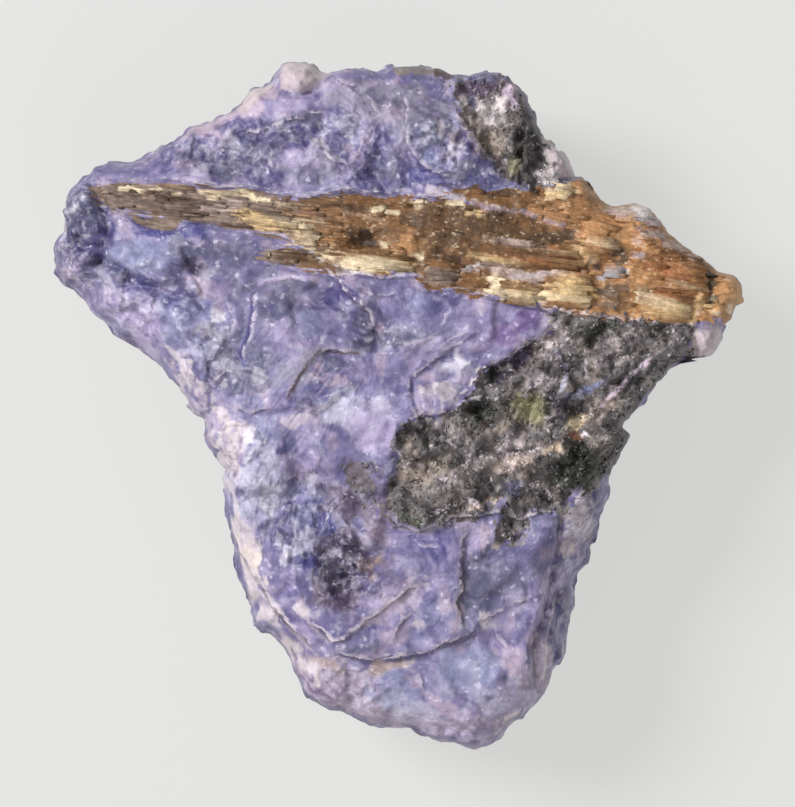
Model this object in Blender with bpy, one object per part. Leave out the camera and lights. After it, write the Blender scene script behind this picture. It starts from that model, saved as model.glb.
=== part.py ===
"""Charoite specimen: a broken hand piece of violet rock that lies on its back.

One natural solid: violet charoite crossed by a band of honey-brown tinaksite blades, with two
masses of dark aegirine grains and a few lumps of quartz, all grown together.
It is modelled in metres, with +Z up, +X to the right along the band and +Y to the top of its
show face. The origin is under the middle of the stone, on the surface that it lies on.
"""

import math

import bmesh
import bpy
import numpy as np

# Driving dimensions, in millimetres
WIDTH = 90.4  # the left knob to the honey-brown tip of the band
THICKNESS = 33.5  # the highest point of the show face above the surface it lies on
MIDDLE_HEIGHT = 30.0  # the show face at the middle of the stone
DOME = 0.0019  # how fast the show face falls towards its edges, per millimetre squared
BASE_SHARE = 0.80  # the back's outline as a share of the stone's own outline
BACK_RELIEF = 2.4  # how far the broken back rises off the surface between its flats
BACK_FLAT_RADIUS = 9.0  # the flat that the stone mainly lies on
SIDE_RELIEF = 3.0  # how deep the sides are chipped
SIDE_BLOCK = 8.0  # one chip of the sides; 32 of them go round
CLIFF = 0.45  # how wide the drop is at a broken plate's edge
LATH_WIDTH = 2.1  # one tinaksite blade, across the band
LATH_LENGTH = 13.0
LATH_STEP = 0.9  # how far one blade stands above or below the next
GRAIN_SIZE = 3.6  # one clump of aegirine grains
GRAIN_STEP = 1.3
ROUGHNESS = 0.8  # the broken surface's waves

# The layout sheet: its squares count to the right and down from its top left corner
SHEET_WIDTH = 695  # the stone's width in squares
SHEET_MIDDLE = (397.5, 406.0)
SQUARE = WIDTH / SHEET_WIDTH

GRID = 120  # squares along each edge of the cube that the stone is shaped from
TRIANGLES = 9800

OUTLINE_MIDDLE = (385, 352)  # every point of the outline can be seen from here
OUTLINE = [
    (50, 250), (55, 237), (60, 230), (61, 210), (67, 195), (74, 183), (87, 172), (97, 162), (112, 160),
    (126, 161), (140, 157), (155, 148), (180, 133), (205, 122), (232, 107), (242, 96), (253, 86), (269, 79),
    (274, 68), (284, 60), (297, 59), (313, 64), (327, 71), (347, 67), (368, 67), (383, 68), (402, 64),
    (425, 66), (445, 69), (463, 74), (480, 71), (503, 70), (515, 80), (527, 95), (536, 118), (547, 138),
    (562, 152), (575, 177), (587, 181), (598, 198), (613, 207), (632, 204), (648, 207), (658, 217), (670, 235),
    (691, 250), (711, 263), (726, 272), (738, 277), (745, 294), (743, 304), (735, 308), (733, 320), (727, 329),
    (723, 345), (712, 358), (699, 361), (688, 360), (671, 370), (655, 391), (638, 411), (624, 423), (630, 437),
    (622, 453), (612, 472), (610, 497), (601, 522), (593, 552), (580, 578), (576, 596), (573, 622), (567, 658),
    (555, 676), (545, 699), (528, 719), (510, 732), (494, 747), (476, 753), (452, 748), (428, 740), (407, 734),
    (380, 732), (362, 727), (345, 717), (322, 712), (304, 698), (292, 676), (285, 653), (268, 638), (253, 628),
    (247, 603), (238, 580), (231, 548), (225, 510), (222, 483), (214, 455), (204, 434), (190, 411), (170, 380),
    (147, 357), (118, 340), (101, 322), (84, 303), (69, 290), (58, 283), (50, 270),
]

# How the show face meets the sides, at angles from +X in degrees: the drop from the face down
# to the edge that is seen from above, and the width that it rounds over, in millimetres
EDGES = {
    0: (5.0, 1.8),
    12: (5.0, 1.6),
    30: (4.0, 1.5),
    48: (5.0, 1.2),
    70: (6.0, 0.9),
    95: (6.0, 0.9),
    112: (9.0, 1.6),
    130: (7.0, 1.4),
    150: (6.0, 1.6),
    168: (8.0, 3.2),
    185: (8.0, 2.6),
    205: (6.0, 1.6),
    225: (8.0, 2.4),
    240: (9.0, 3.0),
    258: (8.0, 3.0),
    275: (7.0, 2.2),
    292: (8.0, 2.4),
    306: (12.0, 4.0),
    320: (11.0, 3.2),
    338: (7.0, 1.6),
    352: (6.0, 1.4),
}

# Broken plate edges: the drop in millimetres, how far the plate lifts towards its edge, and the
# edge itself. The plate is on the left of someone who walks along it, and the drop on the right.
LEDGES = [
    (1.7, 3.2, [(300, 617), (322, 628), (332, 640), (346, 639), (362, 624), (400, 597), (413, 585), (430, 582)]),
    (1.9, 3.6, [(322, 655), (340, 652), (370, 660), (395, 658), (425, 653), (445, 643), (475, 630), (490, 632)]),
    (0.9, 2.4, [(394, 645), (396, 634), (405, 620), (414, 610)]),
    (1.3, 3.0, [(466, 630), (457, 603), (464, 590), (464, 570), (462, 540), (470, 525)]),
    (2.3, 3.0, [(534, 690), (534, 650), (540, 625), (547, 602), (551, 575), (557, 550), (562, 515)]),
    (1.3, 3.4, [(322, 268), (340, 285), (350, 297), (366, 314), (372, 330)]),
    (0.8, 3.0, [(284, 404), (293, 391), (302, 375), (314, 358), (332, 351), (348, 352), (364, 355)]),
    (1.7, 3.2, [(398, 430), (425, 416), (456, 400), (472, 386), (505, 363), (545, 337), (552, 318)]),
    (0.7, 2.6, [(413, 408), (411, 380), (440, 360), (463, 343), (480, 333)]),
    (0.9, 2.0, [(255, 232), (282, 238), (303, 252), (322, 264), (350, 275), (390, 281), (420, 278), (432, 292)]),
    (1.0, 2.0, [(432, 292), (470, 294), (505, 304), (540, 312), (580, 318), (640, 323), (672, 327), (722, 328)]),
    (1.1, 2.4, [(150, 178), (205, 188), (262, 194), (310, 200), (345, 195), (385, 195), (430, 200), (480, 208)]),
    (1.1, 2.6, [(512, 184), (500, 168), (486, 154), (468, 130), (449, 103)]),
    (0.9, 2.8, [(402, 128), (405, 145), (418, 166), (440, 178), (475, 184)]),
    (0.9, 2.2, [(240, 138), (262, 134), (290, 126), (312, 119), (330, 117)]),
    (1.3, 2.6, [(388, 505), (397, 528), (415, 531), (435, 527), (460, 515), (500, 512), (520, 520), (562, 508)]),
    (1.0, 2.4, [(256, 290), (254, 315), (250, 335), (243, 352), (243, 366)]),
    (0.9, 2.6, [(228, 400), (252, 414), (290, 408), (320, 414), (336, 402), (346, 392)]),
    (1.5, 2.6, [(226, 525), (240, 555), (262, 590), (272, 606), (300, 634), (318, 652)]),
    (0.8, 2.4, [(476, 622), (495, 614), (514, 604), (530, 598)]),
]

# Cracks and grooves: the depth and half width in millimetres, and the line
GROOVES = [
    (1.5, 0.8, [(92, 186), (103, 205), (110, 232), (106, 254), (100, 262)]),
    (0.9, 0.6, [(100, 262), (122, 268), (143, 288), (188, 291), (206, 312)]),
    (0.8, 0.6, [(60, 226), (82, 216), (86, 232), (70, 256), (52, 268)]),
    (1.2, 0.7, [(706, 264), (711, 285), (709, 306)]),
    (1.2, 0.7, [(690, 330), (691, 345), (690, 358)]),
    (1.6, 0.6, [(560, 520), (551, 575), (547, 602), (534, 650), (536, 672)]),
    (1.0, 0.6, [(556, 600), (562, 628), (554, 660)]),
    (0.8, 0.5, [(188, 255), (197, 275), (206, 300)]),
    (0.9, 0.6, [(278, 90), (300, 98), (322, 88)]),
    (0.7, 0.6, [(372, 170), (384, 190), (400, 194)]),
]

# Lumps, and hollows where the height is negative: the height, the half widths along X and Y in
# millimetres, and the middle
LUMPS = [
    (2.2, 2.4, 2.0, (730, 289)),
    (1.4, 2.0, 1.8, (706, 345)),
    (1.6, 2.6, 1.9, (298, 76)),
    (1.0, 1.7, 1.4, (256, 98)),
    (1.0, 1.5, 2.0, (558, 160)),
    (1.4, 2.4, 1.6, (636, 216)),
    (1.6, 3.4, 3.2, (78, 212)),
    (1.0, 2.6, 2.2, (76, 262)),
    (1.4, 4.2, 4.0, (440, 140)),
    (0.9, 1.8, 4.2, (362, 148)),
    (1.3, 5.0, 3.0, (306, 158)),
    (-1.6, 2.0, 1.3, (364, 245)),
    (-1.5, 3.4, 3.0, (345, 580)),
    (-1.2, 1.8, 4.2, (360, 488)),
    (-1.0, 2.2, 3.0, (372, 178)),
    (-0.9, 2.6, 1.8, (330, 302)),
    (1.1, 4.0, 2.6, (300, 335)),
    (1.0, 4.6, 3.0, (372, 420)),
    (-0.8, 2.6, 2.2, (325, 392)),
    (1.0, 3.4, 3.0, (248, 490)),
    (-1.0, 2.6, 2.2, (300, 470)),
    (1.1, 3.2, 2.8, (420, 560)),
    (0.9, 5.0, 4.0, (470, 675)),
    (-1.0, 1.3, 1.0, (606, 262)),
    (1.1, 2.6, 1.7, (597, 242)),
    (1.0, 3.4, 2.0, (570, 296)),
    (-0.9, 3.0, 2.6, (235, 165)),
    (0.9, 3.0, 2.2, (165, 262)),
    (-0.9, 2.2, 1.6, (190, 275)),
]

# The tinaksite band and the two aegirine masses
BAND = [
    (88, 188), (110, 186), (137, 183), (180, 187), (262, 196), (310, 201), (345, 196), (430, 201), (470, 206),
    (440, 190), (500, 192), (545, 190), (590, 189), (640, 203), (668, 235), (728, 271), (745, 300), (733, 320),
    (672, 325), (580, 317), (505, 302), (430, 291), (415, 276), (350, 275), (318, 262), (282, 236), (215, 226),
    (140, 213), (105, 210),
]
MASSES = [
    [
        (547, 318), (545, 335), (500, 365), (470, 385), (452, 402), (398, 432), (390, 445), (397, 465), (382, 505),
        (397, 528), (435, 526), (468, 518), (505, 500), (495, 545), (515, 545), (535, 510), (560, 520), (575, 490),
        (590, 493), (612, 470), (630, 437), (624, 423), (690, 360), (690, 330), (640, 323), (570, 322),
    ],
    [
        (450, 85), (470, 78), (500, 72), (512, 80), (530, 105), (545, 140), (555, 170), (570, 182), (540, 195),
        (500, 178), (470, 140), (455, 110),
    ],
]

# Where blades and grains reach, the ordinary waves of the surface are held back by this share
CALM = 0.6


def on_stone(point):
    """A point of the layout sheet, in millimetres from the middle of the stone."""
    across, down = point
    return ((across - SHEET_MIDDLE[0]) * SQUARE, (SHEET_MIDDLE[1] - down) * SQUARE)


def on_stone_all(points):
    return np.array([on_stone(point) for point in points])


def smooth_step(value, low, high):
    """0 below low, 1 above high, and a smooth rise between them."""
    share = np.clip((value - low) / (high - low), 0.0, 1.0)
    return share * share * (3.0 - 2.0 * share)


# One block of seeded numbers between -1 and 1: every rough surface reads its height from it
CHANCE = np.random.default_rng(11).uniform(-1.0, 1.0, (32, 32, 32))


def waves(x, y, z, size):
    """Smooth waves between -1 and 1, about one wave in each 2 x size."""
    places = [np.asarray(value, float) / size for value in (x, y, z)]
    places = np.broadcast_arrays(*places)
    cells = [np.floor(value).astype(int) for value in places]
    shares = [smooth_step(value - cell, 0.0, 1.0) for value, cell in zip(places, cells)]
    total = 0.0
    for corner in range(8):
        steps = [(corner >> axis) & 1 for axis in range(3)]
        weight = 1.0
        for share, step in zip(shares, steps):
            weight = weight * (share if step else 1.0 - share)
        index = tuple((cell + step) % 32 for cell, step in zip(cells, steps))
        total = total + weight * CHANCE[index]
    return total


def broken_surface(x, y, z):
    """Waves at three sizes, each half the height of the one before."""
    total = 0.0
    for octave, size in enumerate((13.0, 6.1, 3.1)):
        total = total + 0.5**octave * waves(x + 31.0 * octave, y, z, size)
    return total


def clumps(x, y, size, crispness=14.0):
    """Tilted blocks, one to each cell of a jittered grid: the height at each place, -1 to 1.
    Where two blocks meet, one runs into the other over a strip that crispness narrows."""
    column, row = np.floor(x / size).astype(int), np.floor(y / size).astype(int)
    total = np.zeros(x.shape)
    weights = np.zeros(x.shape)
    for step_x in (-1, 0, 1):
        for step_y in (-1, 0, 1):
            cell_x, cell_y = (column + step_x) % 32, (row + step_y) % 32
            seed_x = (column + step_x + 0.5 + 0.45 * CHANCE[cell_x, cell_y, 0]) * size
            seed_y = (row + step_y + 0.5 + 0.45 * CHANCE[cell_x, cell_y, 1]) * size
            weight = np.exp(-crispness * np.hypot(x - seed_x, y - seed_y) / size)
            tilt = CHANCE[cell_x, cell_y, 2] * (x - seed_x) + CHANCE[cell_x, cell_y, 3] * (y - seed_y)
            total += weight * (CHANCE[cell_x, cell_y, 4] + 1.2 * tilt / size)
            weights += weight
    return total / weights


def to_line(x, y, line):
    """How far each place is from a line, which side it is on (+ left), and the share walked along it."""
    corners = on_stone_all(line)
    lengths = np.hypot(*(corners[1:] - corners[:-1]).T)
    nearest = np.full(x.shape, np.inf)
    side = np.zeros(x.shape)
    walked = np.zeros(x.shape)
    for number, (start, end) in enumerate(zip(corners[:-1], corners[1:])):
        along = (end - start) / lengths[number]
        ahead = (x - start[0]) * along[0] + (y - start[1]) * along[1]
        left = (y - start[1]) * along[0] - (x - start[0]) * along[1]
        held = np.clip(ahead, 0.0, lengths[number])
        away = np.hypot(left, ahead - held)
        closer = away < nearest
        side = np.where(closer, np.sign(left), side)
        walked = np.where(closer, lengths[:number].sum() + held, walked)
        nearest = np.minimum(away, nearest)
    return nearest, side, walked / lengths.sum()


def inside(x, y, shape, softness):
    """1 inside a closed shape and 0 outside, with a soft border."""
    corners = on_stone_all(shape)
    crossings = np.zeros(x.shape, bool)
    for start, end in zip(corners, np.roll(corners, -1, axis=0)):
        spans = (start[1] > y) != (end[1] > y)
        rise = end[1] - start[1] if end[1] != start[1] else 1.0
        crossings ^= spans & (x < start[0] + (y - start[1]) * (end[0] - start[0]) / rise)
    away = to_line(x, y, shape + shape[:1])[0]
    return smooth_step(np.where(crossings, away, -away), -softness, softness)


# Polar outline
FAN = np.radians(np.arange(0.0, 360.0, 0.5))


def polar_outline():
    """The stone's reach in each direction of FAN, from the outline's middle."""
    middle = np.array(on_stone(OUTLINE_MIDDLE))
    spokes = on_stone_all(OUTLINE) - middle
    angles = np.arctan2(spokes[:, 1], spokes[:, 0]) % (2.0 * math.pi)
    reaches = np.hypot(spokes[:, 0], spokes[:, 1])
    order = np.argsort(angles)
    return np.interp(FAN, angles[order], reaches[order], period=2.0 * math.pi)


def rounded(reach, degrees):
    """The same reach with its corners averaged over this many degrees to each side."""
    steps = int(2 * degrees)
    return sum(np.roll(reach, step) for step in range(-steps, steps + 1)) / (2 * steps + 1)


REACH = polar_outline()
SOFT_REACH = rounded(REACH, 7)
BACK_REACH = BASE_SHARE * SOFT_REACH


def in_direction(angle, values):
    return np.interp(angle, FAN, values, period=2.0 * math.pi)


def edge_values(angle):
    """The drop and the rounding width of the show face's edge in each direction."""
    directions = np.radians(list(EDGES))
    drops, widths = np.array(list(EDGES.values())).T
    return (
        np.interp(angle, directions, drops, period=2.0 * math.pi),
        np.interp(angle, directions, widths, period=2.0 * math.pi),
    )


def blades(x, y):
    """Long tinaksite blades side by side: each has its own height, and they lean with the band."""
    across = (y + 0.11 * x + 0.5 * waves(x, y, 3.0, 9.0)) / LATH_WIDTH
    row = np.floor(across).astype(int)
    heights = []
    for blade in (row, row + 1):
        along = x / LATH_LENGTH + 0.5 * CHANCE[blade % 32, 5, 0]
        column = np.floor(along).astype(int)
        here, further = (CHANCE[blade % 32, place % 32, 7] for place in (column, column + 1))
        heights.append(here + (further - here) * smooth_step(along - column, 0.93, 1.0))
    share = across - row
    crown = 1.0 - (2.0 * share - 1.0) ** 4
    return LATH_STEP * (heights[0] + (heights[1] - heights[0]) * smooth_step(share, 0.75, 1.0)) + 0.3 * crown


def show_face(x, y):
    """The height of the show face before its edges are rounded over."""
    height = MIDDLE_HEIGHT - DOME * (x * x + y * y) + 0.015 * y
    band = inside(x, y, BAND, 0.8)
    masses = sum(inside(x, y, mass, 0.9) for mass in MASSES)
    height += ROUGHNESS * (1.0 - CALM * band) * broken_surface(x, y, 0.0)
    height += 0.5 * (1.0 - band) * (1.0 - masses) * clumps(x, y, 6.5)
    height += band * blades(x, y)
    height += masses * GRAIN_STEP * clumps(x, y, GRAIN_SIZE)
    for drop, lift, line in LEDGES:
        away, side, walked = to_line(x, y, line)
        held = smooth_step(walked, 0.0, 0.12) * smooth_step(1.0 - walked, 0.0, 0.12)
        height += 0.5 * drop * held * side * np.tanh(away / CLIFF) * np.exp(-away / lift)
    for depth, half_width, line in GROOVES:
        height -= depth * np.exp(-((to_line(x, y, line)[0] / half_width) ** 2))
    for lift, half_x, half_y, middle in LUMPS:
        middle_x, middle_y = on_stone(middle)
        height += lift * np.exp(-(((x - middle_x) / half_x) ** 2) - ((y - middle_y) / half_y) ** 2)
    return height


def shaped_top(x, y, angle, to_edge):
    """The show face with its edges rounded over."""
    drop, width = edge_values(angle)
    return show_face(x, y) - drop * np.exp(-to_edge / width)


def shaped_back(x, y, share):
    """The broken back: rough, but worn to level flats where the stone lies, and lifted at its rim."""
    relief = BACK_RELIEF * (0.7 * clumps(x + 40.0, y, 9.0) + 1.1 * waves(x, y, 17.0, 7.5)) + 0.15
    relief *= smooth_step(np.hypot(x, y), BACK_FLAT_RADIUS, BACK_FLAT_RADIUS + 3.0)
    lift = 2.6 * smooth_step(share, 0.8, 1.0)
    return np.maximum(relief, 0.0) + lift


def shape_stone(corners):
    """Moves the corners of a cube from -1 to 1 onto the stone, in millimetres."""
    middle_x, middle_y = on_stone(OUTLINE_MIDDLE)
    share = np.maximum(np.abs(corners[:, 0]), np.abs(corners[:, 1]))
    flat_way = np.abs(corners[:, 0]) > np.abs(corners[:, 1])
    long_side = np.where(flat_way, corners[:, 0], corners[:, 1])
    short_side = np.where(flat_way, corners[:, 1], corners[:, 0])
    turn = np.divide(short_side, long_side, out=np.zeros_like(share), where=share > 1e-6)
    angle = np.where(flat_way, math.pi / 4.0 * turn, math.pi / 2.0 - math.pi / 4.0 * turn)
    angle = (angle + np.where(long_side < 0.0, math.pi, 0.0)) % (2.0 * math.pi)

    reach, soft, back = (in_direction(angle, values) for values in (REACH, SOFT_REACH, BACK_REACH))
    radius = share * (soft + (reach - soft) * share**3)
    x = middle_x + radius * np.cos(angle)
    y = middle_y + radius * np.sin(angle)
    to_edge = to_line(x, y, OUTLINE + OUTLINE[:1])[0]
    to_edge = np.where(share > 1.0 - 1e-6, 0.0, to_edge)
    top = shaped_top(x, y, angle, to_edge)

    back_x = middle_x + share * back * np.cos(angle)
    back_y = middle_y + share * back * np.sin(angle)
    below = shaped_back(back_x, back_y, share)

    # The sides drop steeply for a while, then break back to the rim of the back
    level = np.clip(0.5 * (1.0 - corners[:, 2]), 0.0, 1.0)
    turn_in = 0.42 + 0.25 * waves(40.0 * np.cos(angle), 40.0 * np.sin(angle), 9.0, 14.0)
    lean = 0.12 * level + 0.88 * np.clip((level - turn_in) / (1.0 - turn_in), 0.0, 1.0)
    side_x = (1.0 - lean) * x + lean * back_x
    side_y = (1.0 - lean) * y + lean * back_y
    side_z = (1.0 - level) * top + level * below
    around = angle / (2.0 * math.pi) * 32.0 * SIDE_BLOCK
    blocks = 0.5 + 0.6 * clumps(around, side_z + 3.0, SIDE_BLOCK) + 0.3 * broken_surface(side_x, side_y, side_z)
    chipped = SIDE_RELIEF * np.sqrt(np.sin(math.pi * level)) * np.clip(blocks, 0.0, 1.5)
    side_x -= chipped * np.cos(angle)
    side_y -= chipped * np.sin(angle)

    is_side = (np.abs(corners[:, 2]) < 1.0 - 1e-6)[:, None]
    is_top = (corners[:, 2] > 0.0)[:, None]
    faces = np.where(is_top, np.column_stack((x, y, top)), np.column_stack((back_x, back_y, below)))
    return np.where(is_side, np.column_stack((side_x, side_y, side_z)), faces)


def read_corners(mesh):
    corners = np.empty(3 * len(mesh.vertices))
    mesh.vertices.foreach_get("co", corners)
    return corners.reshape(-1, 3)


def write_corners(mesh, corners):
    mesh.vertices.foreach_set("co", corners.ravel())
    mesh.update()


def make_stone_material():
    """Violet, half-dull broken charoite."""
    material = bpy.data.materials.new("violet_charoite")
    material.use_nodes = True
    shader = material.node_tree.nodes["Principled BSDF"]
    shader.inputs["Base Color"].default_value = (0.19, 0.16, 0.38, 1.0)
    shader.inputs["Roughness"].default_value = 0.5
    shader.inputs["Metallic"].default_value = 0.0
    material.diffuse_color = (0.19, 0.16, 0.38, 1.0)
    return material


def make_stone(collection):
    """The stone, shaped from a cube and thinned to a few thousand faces."""
    bpy.ops.mesh.primitive_cube_add(size=2.0)
    stone = bpy.context.object
    stone.name = "charoite_stone"
    mesh = stone.data
    mesh.name = "charoite_stone"

    cage = bmesh.new()
    cage.from_mesh(mesh)
    bmesh.ops.subdivide_edges(cage, edges=cage.edges[:], cuts=GRID - 1, use_grid_fill=True)
    bmesh.ops.triangulate(cage, faces=cage.faces[:])
    cage.to_mesh(mesh)
    cage.free()
    write_corners(mesh, shape_stone(read_corners(mesh)))

    thin = stone.modifiers.new("thin", "DECIMATE")
    thin.ratio = TRIANGLES / len(mesh.polygons)
    bpy.ops.object.modifier_apply(modifier=thin.name)

    # Settled on its flats, centred over the origin and brought to its real size
    corners = read_corners(mesh)
    corners[:, 2] = np.where(corners[:, 2] < 0.25, 0.0, corners[:, 2])
    corners[:, :2] -= 0.5 * (corners.min(0) + corners.max(0))[:2]
    corners[:, 2] *= THICKNESS / corners[:, 2].max()
    corners[:, :2] *= WIDTH / np.ptp(corners[:, 0])
    write_corners(mesh, 0.001 * corners)

    mesh.shade_smooth()
    mesh.set_sharp_from_angle(angle=math.radians(32.0))
    mesh.materials.append(make_stone_material())
    for owner in stone.users_collection:
        owner.objects.unlink(stone)
    collection.objects.link(stone)
    return stone


def main():
    for item in list(bpy.data.objects):
        bpy.data.objects.remove(item, do_unlink=True)
    collection = bpy.data.collections.new("charoite_specimen")
    bpy.context.scene.collection.children.link(collection)
    make_stone(collection)


main()
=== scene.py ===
# %% [markdown]
# # A charoite specimen, worked out with numpy
# The object is one broken hand piece of rock that lies on its back. Four minerals grew together
# in it: violet charoite, a band of honey-brown tinaksite blades, dark aegirine and a little quartz.
# A collector would call it a hand piece: it was broken from a larger block and never cut or polished.
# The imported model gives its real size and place. Everything below is made around that frame, in
# millimetres, and brought to metres only when a mesh is written.

# %% The frame that everything is made around
import collections
import itertools
import math

import bpy
import numpy as np
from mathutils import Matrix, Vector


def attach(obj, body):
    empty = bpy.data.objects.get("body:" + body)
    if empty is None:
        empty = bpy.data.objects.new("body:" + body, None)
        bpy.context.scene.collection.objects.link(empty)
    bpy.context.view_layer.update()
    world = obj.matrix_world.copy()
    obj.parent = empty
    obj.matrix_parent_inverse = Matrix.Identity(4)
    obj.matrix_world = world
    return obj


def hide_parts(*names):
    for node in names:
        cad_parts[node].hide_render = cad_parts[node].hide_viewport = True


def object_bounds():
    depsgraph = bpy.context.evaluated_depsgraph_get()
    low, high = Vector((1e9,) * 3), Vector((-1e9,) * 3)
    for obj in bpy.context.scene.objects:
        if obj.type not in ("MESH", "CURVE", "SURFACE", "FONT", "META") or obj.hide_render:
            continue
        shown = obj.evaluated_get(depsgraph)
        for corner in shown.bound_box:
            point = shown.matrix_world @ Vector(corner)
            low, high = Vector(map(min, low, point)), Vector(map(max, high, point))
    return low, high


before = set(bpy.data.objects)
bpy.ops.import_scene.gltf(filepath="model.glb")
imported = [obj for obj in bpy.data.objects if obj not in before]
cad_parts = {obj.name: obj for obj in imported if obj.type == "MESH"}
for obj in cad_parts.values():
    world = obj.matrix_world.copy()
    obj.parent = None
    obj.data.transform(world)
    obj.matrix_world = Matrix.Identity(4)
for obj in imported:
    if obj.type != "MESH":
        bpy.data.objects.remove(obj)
cad_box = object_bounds()
print("the stone's box in millimetres:", [[round(1000 * v, 1) for v in corner] for corner in cad_box])

# %% [markdown]
# ## The layout sheet
# A natural stone has no drawing with round numbers, so its outline and features are laid out on a
# squared sheet. The squares count to the right and down from the top left corner. One function
# turns them into millimetres from the middle of the stone, and the rest of the file uses those.
# Lines and patches are written as short tables, and three small functions read them.

# %% From the layout sheet to the stone
WIDTH = 1000.0 * (cad_box[1][0] - cad_box[0][0])
SHEET_WIDTH = 695  # the stone's width in squares
SHEET_MIDDLE = np.array([397.5, 406.0])
SQUARE = WIDTH / SHEET_WIDTH


def on_stone(points):
    """Sheet squares to millimetres: (point - middle) x square, with the second axis turned up."""
    return (np.asarray(points, float) - SHEET_MIDDLE) * SQUARE * np.array([1.0, -1.0])


def turned(x, y, angle):
    """The same places measured along and across a direction at this angle from +X:
    x cos + y sin along it and y cos - x sin across it. The opposite angle turns them back."""
    return x * math.cos(angle) + y * math.sin(angle), y * math.cos(angle) - x * math.sin(angle)


def points(text):
    """Reads a row of places on the sheet, each as x,y."""
    return [tuple(float(value) for value in point.split(",")) for point in text.split()]


def lines(text):
    """Reads a table of lines. Each has its measures, or a colour and its measures, then a colon and
    its points, and ends with a semicolon."""
    rows = [row.split(":") for row in text.split(";") if row.strip()]
    return [
        (*(word if word[0].isalpha() else float(word) for word in head.split()), points(places))
        for head, places in rows
    ]


def patches(text):
    """Reads a table of patches. Each has a colour, a strength, the middle's x and y, half its width
    and height and, where it is turned, the degrees from +X, and ends with a semicolon."""
    rows = [row.split() for row in text.split(";") if row.strip()]
    return [
        (name, float(strength), (float(x), float(y)), (float(half_x), float(half_y)), float(*turn or "0"))
        for name, strength, x, y, half_x, half_y, *turn in rows
    ]


print(f"one square is {SQUARE:.4f} mm")

# %% [markdown]
# ## Chance that repeats
# Broken rock is rough at every size. Two seeded functions make that: waves, which are smooth, and
# clumps, which are tilted blocks with crisp borders, as grains and flakes have. Both read one
# block of random numbers, so the stone comes out the same each time.

# %% Waves and clumps
LATTICE = 32  # the block repeats after this many steps each way
JITTER = 0.45  # how far a seed may lie from the middle of its cell, in cells
CHANCE = np.random.default_rng(11).uniform(-1.0, 1.0, (LATTICE, LATTICE, LATTICE))


def smooth_step(value, low, high):
    """0 below low, 1 above high, and between them 3s^2 - 2s^3 of the share s."""
    share = np.clip((value - low) / (high - low), 0.0, 1.0)
    return share * share * (3.0 - 2.0 * share)


def waves(x, y, z, size):
    """Chance values on a lattice with this spacing, and the smooth-step blend of the eight around."""
    places = np.broadcast_arrays(*(np.asarray(value, float) / size for value in (x, y, z)))
    cells = [np.floor(value).astype(int) for value in places]
    shares = [smooth_step(value - cell, 0.0, 1.0) for value, cell in zip(places, cells)]
    total = 0.0
    for corner in range(8):
        steps = [(corner >> axis) & 1 for axis in range(3)]
        weight = 1.0
        for share, step in zip(shares, steps):
            weight = weight * (share if step else 1.0 - share)
        around = tuple((cell + step) % LATTICE for cell, step in zip(cells, steps))
        total = total + weight * CHANCE[around]
    return total


def seeds_near(x, y, size):
    """The jittered seeds of a place's own cell and the eight around it, one after the other: how far
    the place is from the seed along x and y, how far in all, and five chance values of the seed."""
    column, row = np.floor(x / size).astype(int), np.floor(y / size).astype(int)
    for step_x, step_y in itertools.product((-1, 0, 1), repeat=2):
        chances = CHANCE[(column + step_x) % LATTICE, (row + step_y) % LATTICE, :5]
        from_x = x - (column + step_x + 0.5 + JITTER * chances[..., 0]) * size
        from_y = y - (row + step_y + 0.5 + JITTER * chances[..., 1]) * size
        yield from_x, from_y, np.hypot(from_x, from_y), chances


def clumps(x, y, size, crispness=14.0):
    """Tilted blocks around jittered seeds: each height is weighted by e to the power of
    -crispness x distance / size, and the weighted heights of the nine nearest seeds are averaged."""
    total = np.zeros(x.shape)
    weights = np.zeros(x.shape)
    for from_x, from_y, away, chances in seeds_near(x, y, size):
        weight = np.exp(-crispness * away / size)
        tilt = chances[..., 2] * from_x + chances[..., 3] * from_y
        total += weight * (chances[..., 4] + 1.2 * tilt / size)
        weights += weight
    return total / weights


def snapped(x, y, size, share):
    """Each place moved this share of the way to the middle of its chip, the nearest jittered seed."""
    nearest, chip_x, chip_y = np.full(x.shape, np.inf), 0.0, 0.0
    for from_x, from_y, away, _ in seeds_near(x, y, size):
        closer = away < nearest
        nearest = np.where(closer, away, nearest)
        chip_x = np.where(closer, from_x, chip_x)
        chip_y = np.where(closer, from_y, chip_y)
    return x - share * chip_x, y - share * chip_y


def broken_surface(x, y, z, sizes=(13.0, 6.1, 3.1)):
    """Waves at several sizes, each half the height of the one before."""
    total = 0.0
    for octave, size in enumerate(sizes):
        total = total + 0.5**octave * waves(x + 31.0 * octave, y, z, size)
    return total


# %% [markdown]
# ## Lines and closed shapes
# Every ledge, crack and vein is a line on the sheet, and every mineral has a closed shape. The
# surface asks two things of them: how far away is the line and on which side, and am I inside.

# %% Distances to lines and shapes
def to_line(x, y, line):
    """The least distance to the line's pieces, the side (+ left of the walk), the share walked."""
    corners = on_stone(line)
    lengths = np.hypot(*(corners[1:] - corners[:-1]).T)
    nearest = np.full(x.shape, np.inf)
    side = np.zeros(x.shape)
    walked = np.zeros(x.shape)
    for number, (start, end) in enumerate(zip(corners[:-1], corners[1:])):
        along = (end - start) / lengths[number]
        ahead = (x - start[0]) * along[0] + (y - start[1]) * along[1]
        left = (y - start[1]) * along[0] - (x - start[0]) * along[1]
        held = np.clip(ahead, 0.0, lengths[number])
        away = np.hypot(left, ahead - held)
        closer = away < nearest
        side = np.where(closer, np.sign(left), side)
        walked = np.where(closer, lengths[:number].sum() + held, walked)
        nearest = np.minimum(away, nearest)
    return nearest, side, walked / lengths.sum()


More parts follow.
